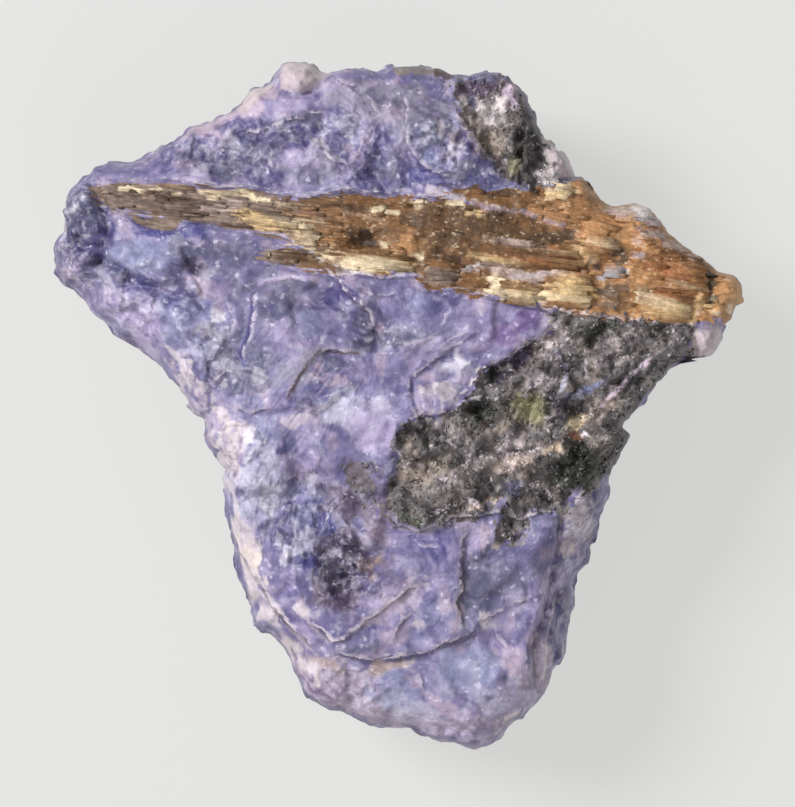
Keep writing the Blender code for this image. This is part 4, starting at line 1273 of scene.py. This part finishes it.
def moved(operation, first, second):
    """One sum with vectors: the places moved or stretched, or a colour times three values."""
    return put("VectorMath", {"operation": operation}, i0=first, i1=second).outputs[0]


def scaled(colour, value):
    """A colour times one value."""
    return put("VectorMath", {"operation": "SCALE"}, i0=colour, Scale=value).outputs[0]


def noise(places, detail, roughness):
    """Noise one unit wide."""
    sockets = {"Vector": places, "Scale": 1.0, "Detail": detail, "Roughness": roughness}
    return put("TexNoise", None, **sockets).outputs[0]


def stretched(places, degrees, sizes):
    """Places turned by an angle and divided by the sizes, so that one unit is one cell."""
    angle = math.radians(-degrees)
    level = put("VectorRotate", {"rotation_type": "Z_AXIS"}, Vector=places, Angle=angle).outputs[0]
    return moved("DIVIDE", level, sizes)


def cells(places):
    """Cells one unit wide: for each a chance value and the distance from its middle, and the height
    of a facet that leans its own way: (place - middle) . (chance colour - 0.5)."""
    node = put("TexVoronoi", None, Vector=places, Scale=1.0)
    offset = moved("SUBTRACT", places, node.outputs["Position"])
    lean = moved("SUBTRACT", node.outputs["Color"], (0.5,) * 3)
    facet = put("VectorMath", {"operation": "DOT_PRODUCT"}, i0=offset, i1=lean).outputs["Value"]
    chance = put("SeparateColor", None, Color=node.outputs["Color"]).outputs[2]
    return chance, node.outputs["Distance"], facet


def shared_places():
    """Object coordinates in millimetres, and the same pushed about by waves."""
    places = moved("MULTIPLY", put("TexCoord").outputs["Object"], (1000.0,) * 3)
    waved_places = put("TexNoise", None, Vector=places, Scale=0.40, Detail=1.0).outputs["Color"]
    offset = moved("MULTIPLY", moved("SUBTRACT", waved_places, (0.5,) * 3), (1.8,) * 3)
    return places, moved("ADD", places, offset)


def ridged(height):
    """A bump from a height in thirds of a millimetre."""
    return put("Bump", None, Height=height, Distance=0.0003, Strength=0.9).outputs[0]


# %% [markdown]
# Three minerals share one set of patterns: cells at two sizes, the borders of the larger cells,
# and noise at two sizes. Only the places differ. For tinaksite they are drawn out along the band,
# for aegirine they are drawn out another way. A pattern that all three share is worked out once.

# %% The patterns and the places that each mineral looks them up at
BLOCKS_FROM = -7.0  # the band is blocky to the right of this, in millimetres
MASS_DEGREES = 38.0  # the way that clots and grains are drawn out
Pattern = collections.namedtuple("Pattern", "chip border bit from_bit fine wide")


def looked_up(places):
    """Larger cells, their borders, smaller cells, fine noise and wide noise at four sets of places."""
    chip = cells(places[0])[0]
    border = put("TexVoronoi", {"feature": "DISTANCE_TO_EDGE"}, Vector=places[0], Scale=1.0)
    bit, from_bit, _ = cells(places[1])
    fine, wide = noise(places[2], 4.0, 0.66), noise(places[3], 3.0, 0.62)
    return Pattern(chip, border.outputs["Distance"], bit, from_bit, fine, wide)


def violet_places(places, pushed):
    """Charoite: chips of 1.5 mm and of 0.8 mm, nearly as long as they are wide."""
    return (
        moved("DIVIDE", pushed, (1.5, 1.2, 1.3)),
        moved("DIVIDE", pushed, (0.85, 0.75, 0.8)),
        moved("DIVIDE", places, (1.6,) * 3),
        moved("DIVIDE", pushed, (2.9,) * 3),
    )


def mass_places(places, pushed):
    """Aegirine: clots of 4.4 mm with grains of 0.6 mm, both drawn out on a slant."""
    return (
        stretched(pushed, MASS_DEGREES, (4.4, 2.5, 3.0)),
        stretched(places, MASS_DEGREES + 2.0, (0.66, 0.46, 0.5)),
        moved("DIVIDE", places, (2.2,) * 3),
        moved("DIVIDE", pushed, (2.9,) * 3),
    )


def band_places(places):
    """Tinaksite: long and thin cells on the left, and blocks right of the step."""
    blocky = reckon("GREATER_THAN", parts_of(places)[0], BLOCKS_FROM)
    along = stretched(places, math.degrees(BAND_TILT), (1.0, 1.0, 1.0))
    return (
        moved("DIVIDE", along, mixed(blocky, (2.2, 0.34, 0.8, 1.0), (1.3, 0.75, 0.9, 1.0))),
        moved("DIVIDE", along, (0.70, 0.42, 0.5)),
        moved("DIVIDE", along, mixed(blocky, (4.0, 0.34, 0.8, 1.0), (1.4, 0.9, 1.0, 1.0))),
        moved("DIVIDE", places, (0.7,) * 3),
    )


# %% How each mineral varies inside itself
PALE_VIOLET = (0.60, 0.56, 0.66, 1.0)
# Painted highlight on the chips' ridges, partly their bruised whitish colour; painted shade in the crevices;
# white flecks, partly painted glints
RIDGE_BRUISE_AND_HIGHLIGHT = (0.64, 0.60, 0.69, 1.0)
CREVICE_SHADE = (0.05, 0.045, 0.09, 1.0)
WHITE_FLECK_AND_GLINT = (0.62, 0.59, 0.70, 1.0)
# Pale grains of the band, partly painted glints
PALE_GRAIN_AND_GLINT = (0.58, 0.47, 0.33, 1.0)
PALE_SPLINTER = (0.62, 0.52, 0.38, 1.0)


def band_look(places, ground, pattern):
    """Tinaksite: on the left long streaks, further right small grains with pale ones among them,
    which are partly painted glints.
    """
    grainy = ramp(parts_of(places)[0], -16.0, -6.0)
    streaks = between(all_of(grainy, 0.6), ramp(pattern.fine, 0.32, 0.68, 0.56, 1.44), 1.0)
    grains = between(grainy, 1.0, ramp(pattern.bit, 0.0, 1.0, 0.82, 1.18))
    clouds = between(all_of(grainy, 0.5), ramp(pattern.wide, 0.3, 0.7, 0.70, 1.32), 1.0)
    value = all_of(ramp(pattern.chip, 0.0, 1.0, 0.84, 1.16), streaks, grains, clouds)
    value = all_of(value, ramp(pattern.border, 0.0, 0.10, 0.80, 1.02))
    from_bit = centred(pattern.fine, -1.3, pattern.from_bit)
    # Pale grains, partly painted glints on the dark brown
    pale = all_of(
        ramp(pattern.bit, 0.52, 0.68), ramp(from_bit, 0.20, 0.34, 1.0, 0.0),
        ramp(pattern.wide, 0.40, 0.56), grainy, 0.6,
    )
    colour = mixed(pale, scaled(ground, value), PALE_GRAIN_AND_GLINT)
    return mixed(ramp(pattern.fine, 0.62, 0.70, 0.0, 0.5), colour, PALE_SPLINTER)


def mass_look(ground, pattern):
    """Aegirine: drawn-out clots, darkest in their middles, of small angular grains, with pale seams
    between them."""
    border = centred(pattern.fine, -0.5, pattern.border)
    value = all_of(
        ramp(pattern.bit, 0.0, 1.0, 0.74, 1.26), ramp(pattern.chip, 0.0, 1.0, 0.80, 1.20),
        ramp(border, 0.04, 0.36, 1.28, 0.70),
    )
    value = all_of(value, ramp(pattern.fine, 0.3, 0.7, 0.76, 1.16))
    seam = all_of(ramp(border, 0.0, 0.11, 1.0, 0.0), ramp(pattern.wide, 0.44, 0.60), 0.6)
    paler = moved("ADD", moved("MULTIPLY", ground, (1.7, 1.62, 1.52)), (0.11, 0.095, 0.085))
    colour = mixed(seam, scaled(ground, value), paler)
    return mixed(ramp(pattern.bit, 0.92, 0.96, 0.0, 0.40), colour, paler)


def violet_look(ground, pattern, rough):
    """Charoite: chips of their own tone; between them pale ridges, a painted highlight partly on
    bruised whitish edges, and dark crevices of painted shade; wide clouds, and white flecks that are
    partly painted glints. Where the stone broke in smooth plates all but the flecks are weaker."""
    by_chip = centred(pattern.chip, reckon("MULTIPLY_ADD", rough, 0.34, 0.06), 1.0)
    value = all_of(by_chip, ramp(pattern.fine, 0.28, 0.72, 0.84, 1.16))
    marble = reckon("MULTIPLY_ADD", rough, 0.6, 0.4)
    deepened = all_of(ramp(pattern.wide, 0.34, 0.50, 0.75, 0.0), marble)
    colour = mixed(deepened, ground, moved("MULTIPLY", ground, (0.48, 0.46, 0.58)))
    lightened = all_of(ramp(pattern.wide, 0.52, 0.66, 0.0, 0.5), marble)
    colour = scaled(mixed(lightened, colour, PALE_VIOLET), value)
    # Painted highlight on the chips' ridges and painted shade in the crevices between them
    near_border = all_of(ramp(pattern.border, 0.01, 0.17, 1.0, 0.0), rough)
    ridge_bruise_and_highlight = all_of(near_border, ramp(pattern.fine, 0.50, 0.62), 0.45)
    crevice_shade = all_of(near_border, ramp(pattern.fine, 0.38, 0.48, 1.0, 0.0), 0.7)
    colour = mixed(crevice_shade, mixed(ridge_bruise_and_highlight, colour, RIDGE_BRUISE_AND_HIGHLIGHT), CREVICE_SHADE)
    # White flecks, partly painted glints
    from_bit = centred(pattern.fine, -1.6, pattern.from_bit)
    fleck_and_glint = all_of(
        ramp(from_bit, 0.26, 0.40, 1.0, 0.0), ramp(pattern.bit, 0.66, 0.80),
        ramp(pattern.wide, 0.44, 0.56, 0.2, 1.0), 0.46,
    )
    return mixed(fleck_and_glint, colour, WHITE_FLECK_AND_GLINT)


# %% [markdown]
# ## The body's finish
# Broken charoite is silky, a soft gloss that the grain makes uneven. The body's finish works out
# all three minerals and takes the one that the depths name. Borders are frayed by the grain, so
# that splinters and grains reach over them. Last come the broken edges: a dark line of painted
# shade just below each plate's edge, where it overhangs, and in each crack, and a pale lip on the
# plate, a painted highlight where the edge catches the light, partly the paler colour of the chipped edge.

# %% The charoite material: which mineral is where
MILKY, GLASSY = (0.62, 0.52, 0.52, 1.0), (0.40, 0.32, 0.33, 1.0)
# Painted highlight on the plates' lips, partly their paler chipped colour, and painted shade below the edges
# and in the cracks
CHIPPED_LIP_HIGHLIGHT, EDGE_SHADE_LINE = (0.64, 0.56, 0.62, 1.0), (0.060, 0.040, 0.060, 1.0)
charoite, tree, shader = new_finish("silky_charoite")
places, pushed = shared_places()
rough = read("hackly", "Fac")
band_depth, mass_depth, quartz_depth = parts_of(read("depths"))
near_band = reckon("GREATER_THAN", band_depth, -0.7)
near_mass = reckon("GREATER_THAN", mass_depth, -1.8)


def by_mineral(violet, mass, band):
    """The one of three that belongs to the mineral here."""
    return mixed(near_band, mixed(near_mass, violet, mass), band)


in_violet = violet_places(places, pushed)
in_mass = mass_places(places, pushed)
in_band = band_places(places)
pattern = looked_up([by_mineral(*three) for three in zip(in_violet, in_mass, in_band)])
violet = violet_look(read("ground"), pattern, rough)
brown = band_look(places, read("band_ground"), pattern)
dark = mass_look(read("mass_ground"), pattern)

# %% The charoite material: borders between the minerals
band_edge = centred(pattern.chip, 1.0, band_depth)
mass_edge = centred(pattern.fine, 4.0, centred(pattern.bit, 1.2, mass_depth))
quartz_edge = centred(pattern.fine, 1.6, quartz_depth)
colour = mixed(ramp(mass_edge, -0.10, 0.10), violet, dark)
colour = mixed(ramp(band_edge, -0.06, 0.06), colour, brown)
quartz = ramp(quartz_edge, -0.3, 0.3)
milky = mixed(ramp(pattern.fine, 0.35, 0.65), MILKY, GLASSY)
colour = mixed(all_of(quartz, 0.8), colour, milky)

# %% The charoite material: painted shade and highlights at the broken edges
# The breaks attribute: signed distance, the strength of the painted shade line, and the lips' painted
# highlight together with the seams' own pale colour
signed, edge_shade, lip_highlight_and_seam = parts_of(read("breaks"))
beside = centred(pattern.fine, 1.6, signed)
from_line = reckon("ABSOLUTE", reckon("ADD", beside, 0.12))
# The painted shade line just below each plate's edge and in the cracks
line = all_of(
    ramp(from_line, 0.04, 0.26, 1.0, 0.0), edge_shade,
    ramp(pattern.bit, 0.1, 0.6, 0.25, 0.8), ramp(pattern.wide, 0.36, 0.54, 0.4, 1.0),
)
# The pale lip: painted highlight on the plate's edge, partly its paler chipped colour; in a seam, the
# feldspar's own pale colour
lip = all_of(
    ramp(beside, 0.02, 0.12), ramp(beside, 0.22, 0.7, 1.0, 0.0), lip_highlight_and_seam,
    ramp(pattern.bit, 0.2, 0.6), 0.8,
)
colour = mixed(line, mixed(lip, colour, CHIPPED_LIP_HIGHLIGHT), EDGE_SHADE_LINE)

# %% The charoite material: facets and gloss
facet = cells(by_mineral(in_violet[0], in_mass[1], in_band[0]))[2]
lean = between(near_mass, reckon("MULTIPLY_ADD", rough, 3.0, 0.2), 0.8)
height = reckon("MULTIPLY_ADD", facet, between(near_band, lean, 0.6), pattern.fine)
roughness = reckon("MULTIPLY_ADD", quartz, -0.15, ramp(pattern.fine, 0.3, 0.7, 0.40, 0.64))
fill(shader, Base_Color=colour, Normal=ridged(height), Roughness=roughness, Specular_IOR_Level=0.4)
print("charoite:", len(tree.nodes), "nodes")

# %% The body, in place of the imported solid
stone = make_piece(
    "charoite_body", raw_corners, stone_triangles, charoite, ground=stone_violet, band_ground=stone_band,
    mass_ground=stone_mass, depths=stone_depths, breaks=stone_breaks, hackly=stone_hackly,
)
stone.data.shade_smooth()
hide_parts("charoite_stone")

# %% [markdown]
# ## Tinaksite blades
# Tinaksite grows as bundles of long flat blades. In this stone they are thin and straight at the
# left end and break into short blocks to the right. One function turns arrays of places, lengths
# and widths into one mesh of six-sided bars. Each bar keeps its own length direction, so that its
# fibres can be drawn along it.

# %% Bars as one array
BAR_SECTION = np.array([(-0.5, -1.0), (0.5, -1.0), (0.5, -0.12), (0.38, 0.0), (-0.38, 0.0), (-0.5, -0.12)])
BAR_SIDES = len(BAR_SECTION)
BAR_POINTS = 3 * BAR_SIDES
STATIONS = np.array([-1.0, 0.0, 1.0])  # the two ends and the middle
Bars = collections.namedtuple("Bars", "place heading length width lift")


def chosen(items, which):
    """The bars of a mask."""
    return Bars(*(values[which] for values in items))


def ends_of(items):
    """From each bar's middle to where it nearly ends, as x and y."""
    return 0.42 * items.length[:, None] * np.column_stack((np.cos(items.heading), np.sin(items.heading)))


def bar_triangles():
    """One bar's triangles: two shells between its three rings, and a fan on each end."""
    ring = np.arange(BAR_SIDES)
    after = (ring + 1) % BAR_SIDES
    shells = [(start, start + BAR_SIDES) for start in (0, BAR_SIDES)]
    rows = [np.column_stack((low + ring, low + after, high + after)) for low, high in shells]
    rows += [np.column_stack((low + ring, high + after, high + ring)) for low, high in shells]
    fan = np.column_stack((np.zeros(BAR_SIDES - 2, int), ring[1:-1], ring[2:]))
    return np.concatenate(rows + [fan[:, ::-1], fan + 2 * BAR_SIDES])[:, ::-1]


def bars(items, depth, tops, roll, chance):
    """Sections of width x BAR_SECTION at three stations along each heading, with torn ends: each
    end corner is pulled in by chance. The upper corners follow the width and the lowest the depth.
    Returns the corners, the triangles and, for each corner, (along, across, number) in millimetres."""
    count = len(items.place)
    width = items.width[:, None, None]
    along = 0.5 * STATIONS[None, :, None] * items.length[:, None, None]
    along = along - chance.uniform(0.0, 0.9, (count, 3, BAR_SIDES)) * width * STATIONS[None, :, None]
    taper = 1.0 - 0.15 * np.abs(STATIONS)[None, :, None] * chance.uniform(0.0, 2.0, (count, 3, 1))
    across = BAR_SECTION[:, 0] * width * taper
    low = BAR_SECTION[:, 1] <= -1.0
    drop = np.where(low, -depth, BAR_SECTION[:, 1] * width)
    up = tops[:, :, None] + drop + across * np.tan(roll)[:, None, None] * ~low
    turn_x, turn_y = np.cos(items.heading)[:, None, None], np.sin(items.heading)[:, None, None]
    x = items.place[:, 0, None, None] + along * turn_x - across * turn_y
    y = items.place[:, 1, None, None] + along * turn_y + across * turn_x
    corners = np.stack(np.broadcast_arrays(x, y, up), axis=-1).reshape(-1, 3)
    triangles = (bar_triangles()[None] + BAR_POINTS * np.arange(count)[:, None, None]).reshape(-1, 3)
    number = 7.3 * np.arange(count)[:, None, None]  # sets each bar's fibres apart from the next one's
    local = np.stack(np.broadcast_arrays(along, across, number), axis=-1).reshape(-1, 3)
    return corners, triangles, local


def well_inside(place, least):
    """True where a place inside the outline is at least this far from it, in millimetres."""
    away = to_line(*place.T, OUTLINE + OUTLINE[:1])[0]
    return (inside(*place.T, OUTLINE, 0.01) > 0.5) & (away > least)


def laid_on_face(items, lift):
    """A straight line through the face's height at the two ends and the middle, plus the lift."""
    ends = ends_of(items)
    low_end, middle_height, high_end = (shaped_top(*(items.place + station * ends).T) for station in STATIONS)
    mean = (low_end + 2.0 * middle_height + high_end) / 4.0
    slope = 0.55 * (high_end - low_end)
    return (mean + lift)[:, None] + slope[:, None] * STATIONS


# %% [markdown]
# The blades lie in rows side by side, each row cut into lengths, with short splinters strewn on
# them. Where the band is blocky, few of these are kept. There the blades stand in blocks, whose
# places are listed, and each block is split into blades that lie side by side.

# %% Where the blades lie
BAND_LOW, BAND_HIGH = 13.0, 33.0  # across the band, in millimetres from the stone's middle
SPLINTERS = 1500
# Lift in millimetres, half length and half width in squares, middle
BLOCKS = lines(
    """
    .45 20 13: 597,242; .35 16 7: 562,194; .45 32 11: 664,312; .4 24 15: 571,294; .3 44 9: 378,265;
    .3 60 9: 528,261; .4 24 9: 636,216; .3 26 17: 684,274; .3 15 4: 613,275; .2 30 6: 270,222;
    .25 12 7: 640,297; .2 24 8: 520,298; .25 9 6: 380,213; .2 14 9: 310,243; .1 20 9: 442,278;
    """
)
chance = np.random.default_rng(23)


def band_rows():
    """Rows side by side along the band, each cut into lengths that shorten to the right: along,
    across, length and thickness of each blade."""
    rows = []
    across = BAND_LOW
    while across < BAND_HIGH:
        thickness = chance.uniform(0.24, 0.6)
        across += 0.5 * thickness
        along = -46.0 + chance.uniform(0.0, 4.0)
        while along < 47.0:
            share = np.clip((along + 30.0) / 30.0, 0.0, 1.0)
            length = chance.uniform(4.0, 15.0) * (1.0 - share) + chance.uniform(1.0, 5.5) * share
            rows.append((along + 0.5 * length, across, length, thickness))
            along += length
        across += 0.5 * thickness
    return np.array(rows)


def block_rows():
    """The blades of every block: x, y, length, thickness and lift of each blade."""
    rows = []
    for lift, half_length, half_width, (place,) in BLOCKS:
        at_x, at_y = on_stone(place)
        start = -half_width * SQUARE
        while start < half_width * SQUARE:
            thickness = chance.uniform(0.3, 0.8) if at_x < 10.0 else chance.uniform(0.4, 1.0)
            length = 2.0 * half_length * SQUARE * chance.uniform(0.75, 1.05)
            rows.append((at_x, at_y + start + 0.5 * thickness, length, thickness, lift))
            start += thickness
    return np.array(rows)


rows = band_rows()
splinters = np.column_stack((
    chance.uniform(-42.0, 45.0, SPLINTERS), chance.uniform(BAND_LOW, BAND_HIGH, SPLINTERS),
    chance.uniform(0.6, 3.0, SPLINTERS), chance.uniform(0.18, 0.5, SPLINTERS),
))
on_top = np.append(np.zeros(len(rows)), np.ones(SPLINTERS))
rows = np.concatenate([rows, splinters])
standing = block_rows()
print(len(rows), "blades in rows and", len(standing), "in blocks")

# %% Every blade, and the ones that are kept
row_places = np.column_stack(turned(rows[:, 0], rows[:, 1], -BAND_TILT))
row_lift = chance.uniform(-0.30, 0.08, len(rows)) + 0.10 * on_top
block_lift = standing[:, 4] + chance.uniform(-0.08, 0.06, len(standing))
heading = BAND_TILT + chance.normal(0.0, 0.022, len(rows) + len(standing))
heading[:len(rows)] += 0.06 * on_top * chance.normal(size=len(rows))
blades = Bars(
    np.concatenate([row_places, standing[:, :2]]), heading,
    np.concatenate([rows[:, 2], standing[:, 2]]),
    np.concatenate([1.3 * rows[:, 3], 1.35 * standing[:, 3]]),
    np.concatenate([row_lift, block_lift]),
)
# The left end fans out a little
fanned = np.radians(-3.0) * smooth_step(-blades.place[:, 0], 8.0, 30.0) * (blades.place[:, 1] < 25.5)
blades = blades._replace(heading=blades.heading + fanned)
# Few rows where the band is blocky: its blocks stand there instead
wanted = 0.6 - 0.48 * smooth_step(blades.place[:, 0], -12.0, -4.0)
kept = (chance.uniform(0.0, 1.0, len(wanted)) < wanted) | (np.arange(len(wanted)) >= len(rows))
for end in (blades.place - ends_of(blades), blades.place + ends_of(blades)):
    kept &= (inside(*end.T, BAND, 0.05) > 0.5) & well_inside(end, 0.35)
# The pit in the band has none
pit_x, pit_y = on_stone((364, 245))
kept &= np.hypot((blades.place[:, 0] - pit_x) / 2.2, (blades.place[:, 1] - pit_y) / 1.4) > 1.0
blades = chosen(blades, kept)

# %% The blades' corners and colours
BLADE_DEPTH = 1.9
blade_tops = laid_on_face(blades, blades.lift + 0.12)
blade_roll = chance.uniform(-0.12, 0.12, len(blades.place))
blade_corners, blade_triangles, blade_local = bars(blades, BLADE_DEPTH, blade_tops, blade_roll, chance)
own_tone = np.repeat(np.exp(chance.normal(0.0, 0.09, len(blades.place))), BAR_POINTS)[:, None]
# A short blade has one tone: it is looked up most of the way to the blade's middle
to_middle = 0.8 * (1.0 - smooth_step(np.repeat(blades.length, BAR_POINTS), 4.0, 8.0))[:, None]
flat = blade_corners[:, :2]
toned_at = flat + to_middle * (np.repeat(blades.place, BAR_POINTS, axis=0) - flat)
blade_colours = own_tone * band_colours(*toned_at.T, wandering(*flat.T, 0.0), ragged(*flat.T, 0.0))
print(len(blades.place), "blades kept, highest top", round(float(blade_tops.max()), 2), "mm")

# %% [markdown]
# ## The blades' finish
# A blade splits along its length, so its streaks and fine ridges run that way. The mesh carries
# the distance along and across each blade, and the noise is stretched on those two.

# %% The tinaksite material
tinaksite, tree, shader = new_finish("splintery_tinaksite")
places = shared_places()[0]
pattern = looked_up(band_places(places))
colour = band_look(places, read("ground"), pattern)
streak = noise(moved("MULTIPLY", read("local"), (0.55, 7.0, 1.0)), 3.0, 0.6)
colour = scaled(colour, ramp(streak, 0.3, 0.7, 0.88, 1.12))
roughness = ramp(streak, 0.3, 0.7, 0.38, 0.62)
normal = ridged(reckon("ADD", streak, pattern.fine))
fill(shader, Base_Color=colour, Roughness=roughness, Normal=normal, Specular_IOR_Level=0.4)

blade_piece = make_piece(
    "tinaksite_blades", blade_corners, blade_triangles, tinaksite, ground=blade_colours, local=blade_local
)

# %% [markdown]
# ## Aegirine grains
# The two dark masses are felted heaps of small aegirine prisms with paler feldspar between them.
# They are the same bars again, short and thin, half sunk in the mass and lying every way about a
# main direction. Chance gives each one a tone around the colour of its place.

# %% Where the grains lie
GRAINS_THROWN = 9000
GRAINS_KEPT = 2600
GRAIN_DEPTH = 0.7
around = ((-12.0, 40.0), (-28.0, 46.0))  # the field that they are thrown on, along x and along y
place = np.column_stack([chance.uniform(low, high, GRAINS_THROWN) for low, high in around])
over_x, over_y = nudged(*place.T, wandering(*place.T, 0.0), MUCH)
in_masses = sum(inside(over_x, over_y, mass, 0.9) ** 2 for mass in MASSES)
in_sprinkle = 0.35 * inside(*place.T, SPRINKLED, 1.2)
landed = chance.uniform(0.0, 1.0, GRAINS_THROWN) < np.maximum(in_masses, in_sprinkle)
place = place[landed][:GRAINS_KEPT]
length, width = chance.uniform(0.35, 1.1, len(place)), chance.uniform(0.22, 0.5, len(place))
heading = np.radians(MASS_DEGREES) + chance.normal(0.0, 0.9, len(place))
grains = Bars(place, heading, length, width, np.zeros(len(place)))
ends = ends_of(grains)
grains = chosen(grains, well_inside(place - ends, 0.5) & well_inside(place + ends, 0.5))

# %% The grains' corners and colours
count = len(grains.place)
grain_tops = laid_on_face(grains, chance.uniform(-0.06, 0.16, count))
grain_roll = chance.uniform(-0.6, 0.6, count)
grain_corners, grain_triangles, _ = bars(grains, GRAIN_DEPTH, grain_tops, grain_roll, chance)
at = grains.place.T
tone = mass_colours(*at, wandering(*at, 0.0), ragged(*at, 0.0))
tone = tone * np.exp(chance.normal(0.0, 0.18, count))[:, None]
pale = (chance.uniform(0.0, 1.0, count) < 0.12)[:, None]
tone = np.where(pale, 0.55 * tone + 0.45 * light("frost"), tone)
print(count, "grains")

# %% The aegirine material
aegirine, tree, shader = new_finish("glossy_aegirine")
pattern = looked_up(mass_places(*shared_places()))
colour = mass_look(read("ground"), pattern)
fill(shader, Base_Color=colour, Roughness=0.42, Normal=ridged(pattern.fine))
grain_piece = make_piece(
    "aegirine_grains", grain_corners, grain_triangles, aegirine, ground=np.repeat(tone, BAR_POINTS, axis=0)
)

# %% [markdown]
# ## Camera, floor and light
# The stone is seen straight from above through a long lens, which keeps its outline true. It
# lies on a plain pale floor. One soft light stands high on the left, a little towards the top of the
# stone, so that every ledge throws a short shadow to the right. A larger and much weaker one fills
# in from the bottom right, under an even sky, as on a table for small finds.

# %% The camera
STONE_RIM = 0.024  # the rim's height, which the lens is set to, in metres
VIEW_HEIGHT = 807  # what the camera takes in from top to bottom, in squares of the sheet
VIEW_MIDDLE = 403.5
LENS = 200.0
SENSOR = 36.0
camera_data = bpy.data.cameras.new("camera")
camera_data.lens = LENS
camera_data.sensor_fit = "VERTICAL"
camera_data.sensor_height = SENSOR
camera_data.clip_start = 0.05
camera = in_scene("camera", camera_data)
away = 0.001 * VIEW_HEIGHT * SQUARE * LENS / SENSOR
camera.location = (0.0, 0.001 * (SHEET_MIDDLE[1] - VIEW_MIDDLE) * SQUARE, STONE_RIM + away)
bpy.context.scene.camera = camera
print(f"the camera is {away:.3f} m above the rim")

# %% The floor
FLOOR_LEVEL = -0.00005  # just clear of the stone's flat, so that the two never share a plane
FLOOR_HALF = 2
pale, tree, shader = new_finish("pale_floor")
fill(
    shader, Base_Color=(0.14, 0.14, 0.136, 1.0), Roughness=0.9, Specular_IOR_Level=0.1,
    Emission_Color=(1.0, 1.0, 0.985, 1.0), Emission_Strength=0.575,
)
floor_mesh = bpy.data.meshes.new("floor")
around = ((-1, -1), (1, -1), (1, 1), (-1, 1))
floor_corners = [(FLOOR_HALF * x, FLOOR_HALF * y, FLOOR_LEVEL) for x, y in around]
floor_mesh.from_pydata(floor_corners, [], [(0, 1, 2, 3)])
floor_mesh.materials.append(pale)
in_scene("floor", floor_mesh)


# %% The lights
def soft_light(name, watts, size, place, target=(0.0, 0.0, 0.015)):
    """A square light that faces the target."""
    lamp = bpy.data.lights.new(name, "AREA")
    lamp.energy = watts
    lamp.size = size
    item = in_scene(name, lamp)
    item.location = place
    way = np.array(place) - np.array(target)
    lean = math.atan2(math.hypot(way[0], way[1]), way[2])
    item.rotation_euler = (lean, 0.0, math.atan2(way[1], way[0]) + math.pi / 2)


soft_light("key", 12.4, 0.32, (-0.60, 0.30, 0.73))
soft_light("fill", 3.2, 0.8, (0.25, -0.65, 0.72))
world = bpy.data.worlds.new("sky")
bpy.context.scene.world = world
world.use_nodes = True
fill(world.node_tree.nodes["Background"], Color=(0.96, 0.98, 1.0, 1.0), Strength=0.35)
bpy.context.scene.view_settings.view_transform = "Standard"
